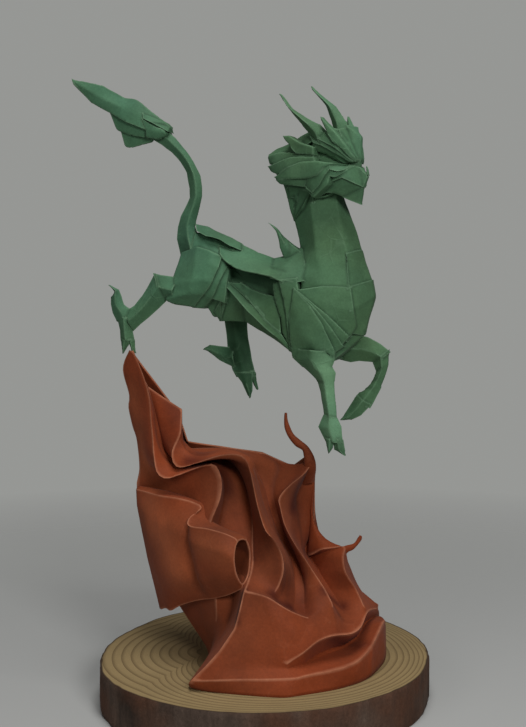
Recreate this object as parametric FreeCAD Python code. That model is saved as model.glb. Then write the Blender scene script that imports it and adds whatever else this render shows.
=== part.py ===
"""Folded paper kirin balancing by one hind hoof on the tip of a folded paper flame,
which stands on a round slice of wood.

Frame: millimetres, +Z up, origin at the centre of the slice's underside.
Azimuth 0 (the view along +Y) shows the kirin's near side with its head to the right.

The kirin is described in a frame of its own: x runs forward from the standing hoof,
z runs up from it and a half width h is measured from the animal's mid-plane.  The
flame is described from the centre of the slice's top face.
"""
import FreeCAD, Part
import math
import os

# ---------------------------------------------------------------- driving sizes
SLICE_DIAMETER = 160.0
SLICE_THICKNESS = 20.0
SLICE_WAVINESS = 2.6
SLICE_EDGE_BEVEL = 0.8
SLICE_SIDES = 50

FLAME_PAPER = 0.8
SLEEVE_PAPER = 0.8
FLAP_PAPER = 0.9

# the flame's tip, which the standing hoof holds between its toes
PERCH_X = -64.0
PERCH_Y = 6.0
PERCH_HEIGHT = 146.0
HOOF_GRIP = 0.6
STANDING_HOOF_SIDE = 8.4

KIRIN_YAW = 15.0
HEAD_TURN = 20.0
NECK_TOP_X = 88.0
NECK_TOP_Z = 77.0

UPPER_SAMPLES = 15
SKIRT_SAMPLES = 2
PANEL_STRIPS = 2
SEW_TOLERANCE = 0.001


# ---------------------------------------------------------------- building blocks
def solid_from_triangles(points, triangles):
    """A closed solid from a triangle list, with coincident points merged."""
    index_of = {}
    merged = []
    place = []
    for point in points:
        key = (round(point[0], 4), round(point[1], 4), round(point[2], 4))
        if key not in index_of:
            index_of[key] = len(merged)
            merged.append(FreeCAD.Vector(*key))
        place.append(index_of[key])
    kept = []
    for a, b, c in triangles:
        corner = (place[a], place[b], place[c])
        if len(set(corner)) == 3:
            kept.append(corner)
    shell = Part.Shape()
    shell.makeShapeFromMesh((merged, kept), SEW_TOLERANCE, True)
    solid = Part.Solid(shell)
    if solid.Volume < 0:
        solid.reverse()
    return solid


def stretch_of(row):
    """Running length of a row of points, from 0 at its start to 1 at its end."""
    run = [0.0]
    for before, after in zip(row, row[1:]):
        run.append(run[-1] + math.dist(before[:3], after[:3]))
    total = run[-1] or 1.0
    return [step / total for step in run]


def quilt(rows):
    """Triangles between neighbouring rows of points, which may differ in number."""
    points = []
    starts = []
    for row in rows:
        starts.append(len(points))
        points.extend(row)
    triangles = []
    for r in range(len(rows) - 1):
        upper = stretch_of(rows[r])
        lower = stretch_of(rows[r + 1])
        i = 0
        j = 0
        while i < len(upper) - 1 or j < len(lower) - 1:
            a = starts[r] + i
            b = starts[r + 1] + j
            step_upper = j == len(lower) - 1
            if i < len(upper) - 1 and j < len(lower) - 1:
                step_upper = upper[i + 1] <= lower[j + 1]
            if step_upper:
                triangles.append((a, b, a + 1))
                i += 1
            else:
                triangles.append((a, b, b + 1))
                j += 1
    return points, triangles


def edge_walls(triangles, offset):
    """Walls that join the rim of a patch to the same rim of its other side."""
    uses = {}
    for a, b, c in triangles:
        for edge in ((a, b), (b, c), (c, a)):
            uses[edge] = uses.get(edge, 0) + 1
    walls = []
    for a, b in uses:
        if (b, a) not in uses:
            walls.append((b, a, a + offset))
            walls.append((b, a + offset, b + offset))
    return walls


def two_sided(front, back, triangles):
    """A closed solid between a patch and its other side."""
    offset = len(front)
    faces = list(triangles)
    faces += [(c + offset, b + offset, a + offset) for a, b, c in triangles]
    faces += edge_walls(triangles, offset)
    return solid_from_triangles(front + back, faces)


def body_block(rows):
    """Paper folded round the body: both flanks of it, alike, and what is between."""
    points, triangles = quilt(rows)
    near = [(x, -h, z) for x, z, h in points]
    far = [(x, h, z) for x, z, h in points]
    return two_sided(near, far, triangles)


def flank_pair(rows, depth, sides=(-1, 1)):
    """A layer laid on the flank, depth thick towards the mid-plane, on each side."""
    points, triangles = quilt(rows)
    layers = []
    for side in sides:
        outer = [(x, side * h, z) for x, z, h in points]
        inner = [(x, side * max(h - depth, 0.1), z) for x, z, h in points]
        layers.append(two_sided(outer, inner, triangles))
    return layers


def strap(stations, ridge=0.5):
    """A folded limb: at each station two edge points, its middle plane and half thickness."""
    points = []
    for (xa, za), (xb, zb), y, t in stations:
        xm = xa + (xb - xa) * ridge
        zm = za + (zb - za) * ridge
        points += [(xa, y, za), (xm, y - t, zm), (xb, y, zb), (xm, y + t, zm)]
    triangles = []
    for s in range(len(stations) - 1):
        for k in range(4):
            a = 4 * s + k
            b = 4 * s + (k + 1) % 4
            triangles.append((a, b, b + 4))
            triangles.append((a, b + 4, a + 4))
    last = 4 * (len(stations) - 1)
    triangles += [(0, 2, 1), (0, 3, 2)]
    triangles += [(last, last + 1, last + 2), (last, last + 2, last + 3)]
    return solid_from_triangles(points, triangles)


def join(solids):
    """One solid from overlapping folded layers."""
    joined = solids[0].multiFuse(solids[1:])
    return joined.removeSplitter()


def vertex_normals(points, triangles):
    """Unit normals at the points, averaged over the triangles that meet there."""
    sums = [FreeCAD.Vector(0, 0, 0) for _ in points]
    places = [FreeCAD.Vector(*point) for point in points]
    for a, b, c in triangles:
        across = (places[b] - places[a]).cross(places[c] - places[a])
        if across.Length < 1e-9:
            continue
        across.normalize()
        for corner in (a, b, c):
            sums[corner] = sums[corner] + across
    normals = []
    for total in sums:
        length = total.Length
        normals.append(total / length if length > 1e-6 else FreeCAD.Vector(0, 0, 1))
    return places, normals


def thin_sheet(points, triangles, thickness):
    """Paper of one thickness, centred on a patch of triangles."""
    places, normals = vertex_normals(points, triangles)
    half = thickness / 2
    front = []
    back = []
    for place, normal in zip(places, normals):
        if place.z == 0:
            normal = FreeCAD.Vector(normal.x, normal.y, 0)
            normal.normalize()
        front.append(tuple(place + normal * half))
        back.append(tuple(place - normal * half))
    return two_sided(front, back, triangles)


def draped_pair(rows, thickness):
    """A free sheet on each side of the body, open underneath."""
    points, triangles = quilt(rows)
    sheets = []
    for side in (-1, 1):
        patch = [(x, side * h, z) for x, z, h in points]
        sheets.append(thin_sheet(patch, triangles, thickness))
    return sheets


# ---------------------------------------------------------------- kirin, body
def neck_and_chest():
    neck = [
        [(74, 77.5, 0.8), (77, 66.5, 0.8), (79, 62, 0.8), (81, 54, 0.8), (82, 49, 1.5),
         (86, 42.5, 9), (85, 35, 13), (84, 22, 13)],
        [(87, 77.5, 8), (89.5, 61, 9), (91.5, 48, 11), (93.5, 39, 13), (95, 31, 14.5), (96, 22, 13.5)],
        [(99.5, 76.5, 7.5), (102, 61.5, 8), (103.5, 55, 8.5), (106, 45.5, 10), (107.5, 30, 12.5),
         (107, 22, 11.5)],
        [(101, 76, 0.8), (105, 64.5, 0.8), (108, 58, 0.8), (111, 47.5, 0.8), (112, 36, 0.8),
         (110, 24, 0.8)],
    ]
    throat_fold = [
        [(105.5, 46.5, 10.6), (107, 30, 12.8), (106.5, 22, 12)],
        [(111, 48.5, 1.4), (113, 41.5, 1.4), (116, 33, 1.4), (114, 24, 1.4)],
    ]
    breast_fold = [
        [(106.5, 31, 13.4), (108, 20.5, 13.4), (107.5, 10, 10.4)],
        [(116, 34.5, 2.2), (117.5, 27, 2), (114.5, 17, 1.8), (112.5, 8.5, 1.6)],
    ]
    chest = [
        [(83.5, 30, 15.6), (95, 31.5, 15.4), (108, 31, 13)],
        [(84, 28, 15.8), (97, 22.5, 16.6), (109.5, 20.5, 13)],
        [(84.5, 24, 15.8), (98, 15, 16.2), (106, 6, 11), (110, 13, 10)],
    ]
    under_chest = [
        [(97, 8, 12), (105, 14, 10.6), (109, 17, 8.6)],
        [(99.5, -2.5, 12), (104.5, 1.5, 8), (110.5, 7, 3), (113, 10, 1.6)],
    ]
    return [body_block(rows) for rows in (neck, throat_fold, breast_fold, chest, under_chest)]


def shoulder_pleats():
    upper = [
        [(83.5, 30, 16.4), (97, 19.5, 17.2), (107.5, 8.5, 12.2)],
        [(83, 28, 16.4), (91, 19, 17.6), (98, 9, 16), (102, 2.5, 12.6)],
    ]
    lower = [
        [(83, 30.4, 17.2), (92.5, 22, 18.2), (100, 12.5, 16.8), (105, 4, 13.2)],
        [(82.5, 28, 17.2), (89.5, 19, 18.4), (94, 11, 17.2), (99, 0, 13.6)],
    ]
    shoulder = [
        [(82.5, 30.8, 17.8), (91, 22.2, 19.2), (96.2, 14, 18.2), (101.2, 2, 14.8), (100.6, -2.5, 13)],
        [(81.5, 25, 17.6), (86.5, 14, 19.6), (91.5, 5, 18.2), (94.5, -1.5, 15.4)],
        [(80, 18.5, 16.6), (80.5, 9.5, 17), (81, -1, 14)],
    ]
    return [body_block(rows) for rows in (upper, lower, shoulder)]


def waist_and_belly():
    waist = [
        [(30.5, 54, 1), (40, 52.5, 1), (51.5, 50.5, 1), (61, 46.5, 1), (69.5, 42.5, 1), (78, 43, 1),
         (85, 43, 4)],
        [(41, 46, 8), (47, 41, 5.5), (54, 36.5, 4), (61, 34, 3.6), (71, 31.5, 5), (81.5, 30, 13)],
        [(48, 28, 9.5), (54.5, 29, 5.5), (61, 25, 5.5), (69, 21, 7), (75, 18, 11), (82, 16, 13)],
    ]
    belly_flap = [
        [(54.5, 33.5, 8), (60.5, 30, 9.5), (68.5, 27.5, 10.5), (74.5, 26.5, 12)],
        [(57, 28, 10), (63, 21.5, 12.5), (68, 16, 13.4), (75.5, 10, 13.4)],
    ]
    flank_strip = [
        [(49, 33.5, 11.5), (55, 33, 8.5), (59, 27, 10), (64, 22, 12), (69, 16.5, 13.2), (74, 11.5, 13.2),
         (80.5, 3, 13)],
        [(48.5, 31.5, 12), (54.5, 25.5, 12.6), (60, 19.5, 13), (66, 14, 13.6), (72.5, 8.5, 13.4),
         (79.5, 1.5, 12.6)],
    ]
    belly = [
        [(46.5, 26, 11.4), (48.5, 35, 11), (56, 28.5, 11.4), (62, 22.5, 11.8), (68, 17, 12.2),
         (74.5, 11, 12), (82, 4, 12)],
        [(41, 19.5, 6), (43, 15, 3), (55.5, 15, 3), (63.5, 10, 3), (70, 6.5, 4), (79, 1, 8)],
    ]
    rear_pleat = [
        [(71, 33, 11.5), (72.5, 25, 13.2), (75.5, 17, 14.2), (76, 10.5, 14)],
        [(76, 33.8, 13.6), (78.5, 25, 15), (80, 15, 15.6), (81, 1.6, 13.4)],
    ]
    front_pleat = [
        [(75, 34.2, 14.8), (77, 26, 15.8), (78.8, 16, 16.2), (80, 1.2, 13.8)],
        [(83.5, 35.5, 15.4), (84.5, 30, 16.8), (83.5, 24, 17), (83.5, 17, 16.6), (84, 0.2, 14)],
    ]
    return [body_block(rows) for rows in (waist, belly_flap, flank_strip, belly, rear_pleat, front_pleat)]


def rump_and_thighs():
    back_ridge = [
        [(30, 57.5, 1.5), (35, 57, 2), (42, 55.5, 2), (52.5, 52, 1.5)],
        [(29.5, 47.5, 7), (36.5, 47.5, 9.5), (42.5, 46, 11), (48, 43.5, 12)],
    ]
    back_flap = [
        [(30.2, 61.5, 1), (36.5, 60.3, 1.4), (39, 58.5, 1.6), (44, 56.5, 1.8), (48.5, 54.5, 1.8),
         (53, 52, 1.8)],
        [(31.5, 58, 3.4), (37.5, 55.3, 7.6), (41, 54.6, 8.2), (44.5, 53.5, 8.6), (49.5, 50.5, 8),
         (54.5, 48.5, 6)],
    ]
    thigh = [
        [(24, 48, 4), (21.5, 37, 8), (20.5, 32.5, 10), (18.5, 25, 11.5)],
        [(33.5, 50.5, 9), (34, 43, 14), (33.5, 34.5, 16.4), (31, 28, 15.6), (22.5, 23, 10.5)],
        [(40.5, 48.5, 11.5), (42, 42, 15), (40, 34.5, 16.6), (37, 28, 15), (30, 22, 9.6)],
        [(47, 45.5, 13), (46, 40, 15), (43, 33, 16), (39.5, 28.5, 14.8), (32, 21.5, 9.2)],
    ]
    thigh_pleat = [
        [(46, 46.3, 12.2), (44.5, 40, 14), (42, 33, 15), (38, 28.5, 13.6), (31, 21.5, 8.4)],
        [(49.5, 41, 12), (46.5, 34, 14.4), (42.5, 26, 13.4), (38, 22.3, 9), (35.5, 21, 8)],
    ]
    inner_pleat = [
        [(47.5, 42, 11.2), (45, 34, 13.4), (41, 26, 12.4)],
        [(50, 40, 11), (49.5, 33, 12.8), (48, 23.5, 12)],
    ]
    groin = [
        [(36, 26, 8), (42, 30, 11.5), (48.5, 26, 11)],
        [(38, 20.5, 5), (40, 17, 4), (42, 17, 4), (44, 15.5, 4)],
    ]
    rows_of_each = (back_ridge, back_flap, thigh, thigh_pleat, inner_pleat, groin)
    return [body_block(rows) for rows in rows_of_each]


def saddle_fold():
    """The sheet that lies over the back and stands free along its lower edge."""
    free_edge = [(46, 46.5, 13), (48.5, 43.5, 14), (52, 41, 14.6), (56, 39, 14.8), (60, 38, 14.6),
                 (64.5, 37.4, 14.6), (70.5, 36, 14.8), (77, 33, 15.2)]
    middle = [(44, 49.5, 7.5), (54, 46, 8), (63, 42.5, 8), (71, 40, 8.5), (80, 38, 12)]
    ridge = [(40, 53, 0.2), (52, 51.8, 0.2), (61, 47.5, 0.2), (69.5, 44, 0.2), (80, 44, 0.2)]
    return draped_pair([ridge, middle, free_edge], FLAP_PAPER)


def withers():
    """The sheet that closes the back between the saddle and the neck."""
    return [body_block([
        [(68, 44.5, 0.6), (75, 46, 1.2), (83, 50.5, 1.6)],
        [(69.5, 40.5, 9), (77, 41, 10.5), (88, 44.5, 7)],
        [(71, 35, 14.4), (78, 34, 15.4), (84, 33.4, 15.8), (91, 35, 9)],
    ])]


def withers_fin():
    fin = [
        [(66, 61.5, 0.6), (68, 59.5, 0.8), (70, 57.5, 1.1), (71.5, 53.5, 1.8), (72, 50, 2.6), (76, 41, 4)],
        [(66, 61.5, 0.6), (69, 59, 1), (72, 56.5, 1.8), (74.5, 52, 3.2), (77.5, 47.5, 4.6), (80, 41, 5)],
        [(66, 61.5, 0.6), (70.5, 58.8, 0.8), (73, 55.5, 1.1), (77, 52, 1.8), (82, 48.5, 4), (85, 42, 5)],
    ]
    return [body_block(fin)]


# ---------------------------------------------------------------- kirin, tail and tuft
def tail():
    band = [
        ((22.5, 46), (35, 46), 0, 7), ((20.5, 54.5), (31.5, 55.5), 0, 4.2),
        ((21, 60.5), (30, 60.5), 0, 3.6),
        ((22.5, 65.5), (31, 65.5), 0, 3.4), ((25, 70), (32.5, 70.5), 0, 3.2),
        ((27, 74), (33.5, 74), 0, 3.2),
        ((27, 78.5), (33.5, 78.5), 0, 3.1), ((25.5, 86), (32.5, 85), 0, 3),
        ((22.5, 91), (29.5, 91), 0, 2.8),
        ((18, 96), (26, 96), 0, 2.7), ((13, 100), (21, 102), 0, 2.6), ((8.5, 102.5), (16, 106.5), 0, 2.4),
    ]
    return [strap(band, ridge=0.64)]


def tuft():
    upper_leaf = [
        [(-33.5, 133.3, 0.3), (-29, 132, 0.3), (-17, 129, 0.3), (-6, 122.7, 0.3), (-0.5, 122, 0.3),
         (7.5, 115.7, 0.4), (16.5, 109.3, 1)],
        [(-33, 132, 0.9), (-20.5, 124.5, 2.2), (-7, 117.5, 3.4), (3.5, 112.3, 4), (16, 106, 3.4)],
        [(-32.4, 130.6, 1.1), (-29, 127.5, 1.2), (-23, 121.3, 1), (-12.5, 115.5, 2.4), (-4.5, 111, 3.8),
         (6.5, 106.5, 4.8), (14, 104.5, 4)],
    ]
    middle_leaf = [
        [(-13.5, 116.6, 1), (-5, 112.4, 2.2), (6, 108, 3.4), (14, 106, 3)],
        [(-10, 107.5, 0.5), (-7.5, 106.5, 0.7), (-1.5, 104.5, 2), (6, 103, 3), (14, 102.3, 3)],
    ]
    lower_leaf = [
        [(-8, 107.2, 0.5), (-1, 105.6, 1.2), (9, 104.6, 1.8)],
        [(-6, 99.3, 0.4), (-3, 98.7, 0.4), (8.5, 101.5, 1.2)],
    ]
    wrap = [
        [(4.5, 112.2, 4.6), (10, 108.7, 5.6), (16.5, 106, 5)],
        [(6.5, 106.5, 5.4), (11.5, 105.5, 6), (17, 104.5, 5)],
        [(6.5, 103, 4.6), (12.5, 102, 4.4), (16.5, 103.5, 4.4)],
    ]
    top_pleat = [
        [(4.5, 114.6, 3.6), (9.5, 112.7, 3.6), (16, 110, 3), (18, 108, 2)],
        [(5.5, 112, 5), (10, 109.8, 6), (17.5, 105.5, 4.6)],
    ]
    leaves = draped_pair(upper_leaf, FLAP_PAPER) + draped_pair(middle_leaf, FLAP_PAPER)
    return leaves + [body_block(lower_leaf), body_block(wrap), body_block(top_pleat)]


# ---------------------------------------------------------------- kirin, legs
def standing_hind_leg():
    hock = [((24, 36), (21.5, 23.5), -8.5, 5), ((15.5, 37), (18, 25), -9, 3.6),
            ((11.5, 38), (17.5, 25), -9, 3)]
    shank = [((12.5, 38), (19, 25.5), -9, 3.4), ((9, 32), (14, 21), -9, 3.6), ((6, 27), (9.5, 17), -9, 3.4),
             ((2, 22.5), (5, 13.5), -8.8, 3.2), ((-3, 19.5), (1, 10), -8.6, 2.8)]
    side = -STANDING_HOOF_SIDE
    pastern = [((-7.5, 17), (2, 16.5), side, 3), ((-6, 10.5), (0.7, 10), side, 3),
               ((-5.5, 5.5), (1.7, 5.5), side, 3)]
    rear_toe = [((-5.4, 6.5), (-0.2, 5), side - 0.4, 2.4), ((-5, 2.5), (-1.8, 2), side - 0.6, 1.6),
                ((-4.6, -0.8), (-3.9, -0.8), side - 0.6, 0.7)]
    front_toe = [((-2.2, 6), (1.7, 6.5), side + 0.6, 2.4), ((-0.8, 2), (2, 2.5), side + 0.4, 1.8),
                 ((-0.3, -0.4), (2.4, -0.6), side + 0.4, 1.2)]
    spur = [((-7.5, 14.5), (1.5, 15), side, 2.6), ((-9.5, 19), (0.5, 20.5), side, 2.6),
            ((-10.2, 23), (-3.4, 23), side - 0.4, 2.4), ((-10, 26.5), (-4.5, 27), side - 1, 2),
            ((-8, 29), (-5.6, 30), side - 1.6, 1.4), ((-10.8, 32.3), (-10, 32.6), side - 2.2, 0.6)]
    return [strap(stations) for stations in (hock, shank, pastern, rear_toe, front_toe, spur)]


def lifted_hind_leg():
    shank = [((39.5, 25), (53.5, 25), 9, 5), ((41.5, 14.5), (53, 15), 9.5, 3.6),
             ((42.5, 8), (53.5, 6.5), 9.5, 3.2),
             ((43, 2.5), (54.5, 1), 9.5, 3), ((44, -3), (55.5, -4.5), 9.5, 2.8),
             ((45.5, -9), (57, -9.5), 9.5, 2.6),
             ((47.5, -12.5), (57.5, -12.5), 9.5, 2.2)]
    rear_toe = [((46.5, -10), (56, -10), 8.8, 2), ((50.5, -15.2), (56, -16), 8.4, 1.6),
                ((53.3, -21), (56, -19), 8.2, 1.1), ((54.3, -22.7), (55.2, -22.4), 8.2, 0.6)]
    front_toe = [((53.5, -9), (57.5, -9.8), 10.4, 1.8), ((55.2, -15.3), (57.7, -14.3), 10.8, 1.4),
                 ((57.5, -19.2), (58.8, -18.9), 11, 0.6)]
    spur = [((47, -8), (46, 2), 9, 2.2), ((39, -4.5), (38, 2.7), 9, 2), ((34, -0.8), (34, 3.1), 9, 1.4),
            ((30.6, 0.8), (31, 1.7), 9, 0.6)]
    return [strap(stations) for stations in (shank, rear_toe, front_toe, spur)]


def near_foreleg():
    arm = [((81, 3), (101, 2), -13.6, 5.4), ((81.2, -1.1), (100.8, -2.4), -13.6, 5),
           ((85.6, -5.4), (99.8, -5), -13.4, 4.6),
           ((89.5, -9), (101.4, -8), -13.2, 4.2), ((92.5, -12.2), (101, -11.5), -13, 4),
           ((94, -17.2), (101.3, -17.5), -13, 3.8),
           ((94.8, -22.7), (102, -24), -13, 3.6), ((95.7, -27.2), (102.3, -28), -13, 3.4),
           ((95.5, -30.5), (102, -31.5), -13, 3)]
    fetlock = [((95.8, -27), (102.3, -28.5), -13.4, 3), ((93.3, -33), (104.2, -32.5), -13.4, 3.4),
               ((95, -36.4), (104.4, -36), -13.4, 3), ((96.7, -39.6), (105, -40), -13.4, 2.6)]
    rear_toe = [((96.4, -38), (101.4, -38), -13.8, 2.4), ((97.4, -42.8), (100.3, -43), -14, 1.6),
                ((98.1, -45), (99, -45), -14.2, 0.7)]
    front_toe = [((100, -38), (105, -38.5), -12.8, 2.4), ((100.7, -43.3), (105.8, -43.4), -12.6, 1.6),
                 ((105.1, -45.9), (106.1, -45.7), -12.6, 0.7)]
    return [strap(stations) for stations in (arm, fetlock, rear_toe, front_toe)]


def raised_foreleg():
    arm = [((100, 9), (95, -2), 7, 4.6), ((107, 9), (104.3, -4.3), 8, 4.2),
           ((112.2, 7.6), (108.4, -3.6), 9, 4),
           ((118, 4.5), (114.4, -4.2), 10, 3.6), ((123.1, 0.8), (116.4, -5.2), 10.5, 3)]
    forearm = [((122.5, 2.2), (114.5, -4.5), 10.5, 3.3), ((122.3, -4.4), (116, -8.3), 10.5, 3.1),
               ((120.8, -10.5), (114.1, -13.5), 10.2, 3), ((118.8, -16.2), (111.4, -16.6), 9.6, 2.9),
               ((116.5, -21.2), (108.4, -18.5), 9, 2.8), ((113.8, -26), (106.1, -21.4), 8.4, 2.5)]
    hoof = [((114.4, -24.2), (107.4, -19.6), 8.3, 2.8), ((109.6, -29.3), (104.1, -25), 7.6, 2.4),
            ((105, -31.5), (101.7, -28.8), 7, 1.6), ((100.3, -32.1), (99.7, -31.4), 6.4, 0.7)]
    return [strap(stations) for stations in (arm, forearm, hoof)]


# ---------------------------------------------------------------- kirin, head
# The head's own frame: x forward and z up from the top of the neck.
def skull_and_jaws():
    skull = [
        [(-11, 17, 6), (-2.5, 21, 8), (8, 22, 6), (18.5, 23.5, 3), (25, 21.2, 0.8)],
        [(-11.5, 9.5, 8), (1, 11.3, 9), (13, 12.5, 7), (21, 11.5, 3), (25.5, 12.2, 0.8)],
        [(-9, 1, 8), (2.5, -2, 9), (13, -3, 8), (19.8, 1.5, 5), (25, 6, 0.8)],
        [(-10, -4, 6), (2, -6, 7.4), (11, -5, 7)],
    ]
    upper_jaw = [
        [(14.5, 5, 9.6), (18.7, 4.3, 9.6), (22.4, 6.8, 8), (24.3, 8.5, 4.4), (25.7, 8, 2.2),
         (27.2, 6.2, 1.2), (28.9, 4.4, 0.8)],
        [(15.4, 1.2, 9.8), (21, 2.9, 9.6), (25, 0.5, 5.6), (27, -1.1, 1.2), (29.3, 4.2, 0.8)],
    ]
    nose = [
        [(29.4, 4.2, 0.8), (29.3, 6, 0.8), (28.9, 7.5, 0.6), (28, 8.5, 0.4)],
        [(28, 5, 0.8), (28.2, 6.2, 0.8), (28.2, 7, 0.6), (27.6, 7.8, 0.4)],
    ]
    lower_jaw = [
        [(12.5, 3.5, 9), (20.8, 3.1, 8.8), (24.6, 0.7, 4.8), (26.7, -1.2, 0.9)],
        [(8.6, -3, 8.4), (15.2, -3.5, 7.6), (18.6, -5.3, 5), (25.6, -8.8, 0.8)],
    ]
    nape = [
        [(-15, 4.5, 5), (-6, 4, 8.6), (3, 3, 8.8)],
        [(-13.5, -3.5, 2.5), (-5.5, -6.5, 6.6), (5, -7, 7.6)],
    ]
    return [body_block(rows) for rows in (skull, upper_jaw, nose, lower_jaw, nape)]


def brow_pleats():
    """The fan of pleats that runs from the crown down to the corner of the mouth."""
    lowest = [
        [(6.5, 20.8, 11), (10.8, 18.6, 11.2), (17.4, 14.4, 9), (22.2, 10.4, 4.6)],
        [(5, 16.5, 10), (12, 14, 8.6), (16, 11.2, 6.6), (19.5, 9.5, 5)],
    ]
    low = [
        [(2.5, 24.5, 9.5), (10, 21.5, 11.8), (18, 16.8, 10), (24, 10.8, 4.8)],
        [(6.5, 19.5, 11.2), (11, 18, 11.6), (17.5, 14, 9.4), (22.7, 9.6, 4.8)],
    ]
    middle = [
        [(9, 24.6, 11), (13.8, 24, 11), (21.5, 17, 8.4), (24.6, 10.8, 4.2)],
        [(9.2, 21, 12), (12.8, 19.2, 11.8), (18.3, 16, 10.6), (23.7, 10, 4.6)],
    ]
    high = [
        [(15.6, 25.6, 9.6), (18.8, 25, 8), (23, 18, 6), (25.4, 11.6, 3.2)],
        [(16.5, 22, 10), (21.5, 16.2, 8.8), (24.4, 10.4, 3.8)],
    ]
    temple = [
        [(18.5, 25, 8.6), (20.4, 26, 5.4), (22.8, 19, 4), (25.4, 11.4, 2)],
        [(19.2, 22.8, 8.6), (22.6, 16.8, 6.6), (24.6, 10.5, 3.2)],
    ]
    pleats = []
    for rows in (lowest, low, middle, high, temple):
        pleats += flank_pair(rows, depth=4)
    forehead = [
        [(20.4, 27.2, 5.8), (23.1, 24.4, 2), (26, 22, 0.8), (25.8, 15.8, 0.8), (25.9, 11.3, 0.8)],
        [(19.5, 23.5, 5.8), (21.8, 18, 4.6), (24.6, 10.2, 1.8)],
    ]
    return pleats + [body_block(forehead)]


def ears():
    spike = [
        [(11.5, 30.6, 12.8), (15.2, 27, 12.4), (18, 23.8, 11.6), (22.7, 17, 9.2), (25.4, 11.2, 4.2)],
        [(11.3, 30, 12.8), (14.8, 23, 12.4), (17.4, 18.4, 11.6), (21.8, 14.6, 9), (24.6, 10.2, 4)],
    ]
    far_ear = [((11, 26), (18.5, 24), 8.4, 2.4), ((12.3, 28), (17.4, 25.7), 9.5, 1.6),
               ((11.9, 31.3), (15.1, 30), 10.4, 1.2), ((11.5, 33.7), (12.8, 33.5), 11.2, 0.6)]
    return flank_pair(spike, depth=3, sides=(-1,)) + [strap(far_ear)]


def horns():
    near = [((5, 19), (15, 18), -8, 3.2), ((3.3, 24.2), (14, 23.1), -9.6, 3.2),
            ((0.3, 27.6), (10, 27.4), -10.2, 3),
            ((-4.3, 32.7), (2.2, 31.6), -11, 2.2), ((-7.4, 37.2), (-3.9, 35.5), -12, 1.6),
            ((-9.6, 40.5), (-7.1, 40.2), -12.8, 1.1), ((-10.6, 42.6), (-9.1, 42.5), -13.3, 0.6)]
    far = [((7, 19), (14, 19), 7, 3), ((5.7, 26), (13.2, 26.8), 9, 3), ((3.7, 32.3), (12.4, 31), 9.4, 2.8),
           ((0.4, 38.8), (6.4, 38.2), 10.4, 2.2), ((-5.4, 44.7), (-1, 43.3), 11.8, 1.6),
           ((-10, 48.7), (-7.3, 48.2), 13, 1.1), ((-10.3, 50.1), (-9.3, 50.1), 13.3, 0.6)]
    return [strap(near), strap(far)]


def cheeks_and_mane():
    cheek = [
        [(2.8, 0.3, 12), (5, 3.6, 13), (10.8, 7.7, 13), (15.3, 9.1, 11.6), (18.6, 9.1, 9.4),
         (23.8, 9.1, 3.6)],
        [(3.9, -1.1, 12.4), (7.2, -3.3, 12.8), (11, -0.3, 13.2), (13.9, 3.8, 13.2), (16.1, 6.8, 12.4),
         (19.2, 5.9, 11.4), (21.3, 6.2, 10), (24.3, 8.7, 3.4)],
    ]
    ribbon = [
        [(2.9, -0.3, 11.6), (6.7, -2.7, 12), (13.5, 4.4, 12.4), (15.7, 6.9, 11.6), (19, 5.9, 10.4),
         (22.5, 8, 6.8), (24.3, 8.6, 3)],
        [(2.2, -0.3, 11.6), (7.1, -5.7, 12.2), (15.1, 0.1, 12.2), (15.9, 3.8, 11.8), (18.4, 3.2, 11),
         (21.8, 5.2, 9.2), (24.5, 8.2, 2.8)],
    ]
    spike = [
        [(-8.5, 23.6, 13.2), (-5.5, 23.5, 13.2), (1, 19.7, 13.4), (7.5, 17.5, 12.8)],
        [(-8.4, 22.5, 13.2), (-4.5, 18.6, 13.4), (-1.4, 14.8, 13.2), (7.6, 13.8, 12)],
    ]
    first_petal = [
        [(-20, 15.8, 9.2), (-11.5, 16.8, 11.2), (-2.2, 15.6, 12), (7.2, 14.8, 11.4)],
        [(-19.2, 11.6, 9), (-14, 11.2, 11), (-7.7, 12.7, 12), (-0.8, 12.9, 12.4), (7.3, 12.2, 11.6)],
    ]
    second_petal = [
        [(-19.2, 10.7, 10), (-12.5, 11.9, 12.2), (-7, 13.3, 13), (-0.3, 13.6, 13.2), (7.6, 12.9, 12)],
        [(-17.4, 8, 10), (-13.2, 6.3, 11.4), (-6, 8.2, 12.8), (0.7, 10, 13), (8.7, 10.3, 12)],
    ]
    third_petal = [
        [(-15, 5.2, 11), (-6.7, 8.8, 12.8), (1.8, 11, 13.8), (10.6, 10.6, 13.6), (16.9, 9.7, 11.5),
         (22.4, 9.1, 7)],
        [(-14, 3.7, 11), (-4.6, 3.5, 13.2), (5.4, 3, 13.8), (10.5, 4.2, 13.6), (13.5, 7.6, 12.8),
         (21.8, 8.7, 7)],
    ]
    fourth_petal = [
        [(-13.8, 3.8, 11.4), (-5, 4, 12.8), (5, 3.8, 12.6)],
        [(-12.4, 1.8, 11), (-4.3, 0.6, 12), (3.2, -0.4, 11.8)],
    ]
    layers = []
    for rows in (cheek, ribbon, spike, first_petal, second_petal, third_petal, fourth_petal):
        layers += flank_pair(rows, depth=5.5)
    crown = [
        [(1, 25.5, 6), (-9.5, 21.2, 6), (-17.3, 19, 6), (-21.2, 16.6, 6.4)],
        [(6.7, 20.5, 10.6), (-2.5, 17, 10.6), (-11.8, 15, 10), (-20.1, 14.6, 8.6)],
    ]
    hood = [
        [(-16, 18, 5), (-6, 20, 8), (4, 21, 8)],
        [(-17.5, 11, 8.2), (-8, 10, 9.4), (4, 10, 9.4)],
        [(-13.5, 3.2, 9.4), (-6, 2, 10), (4, 1, 9.6)],
    ]
    return layers + [body_block(crown), body_block(hood)]


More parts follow.
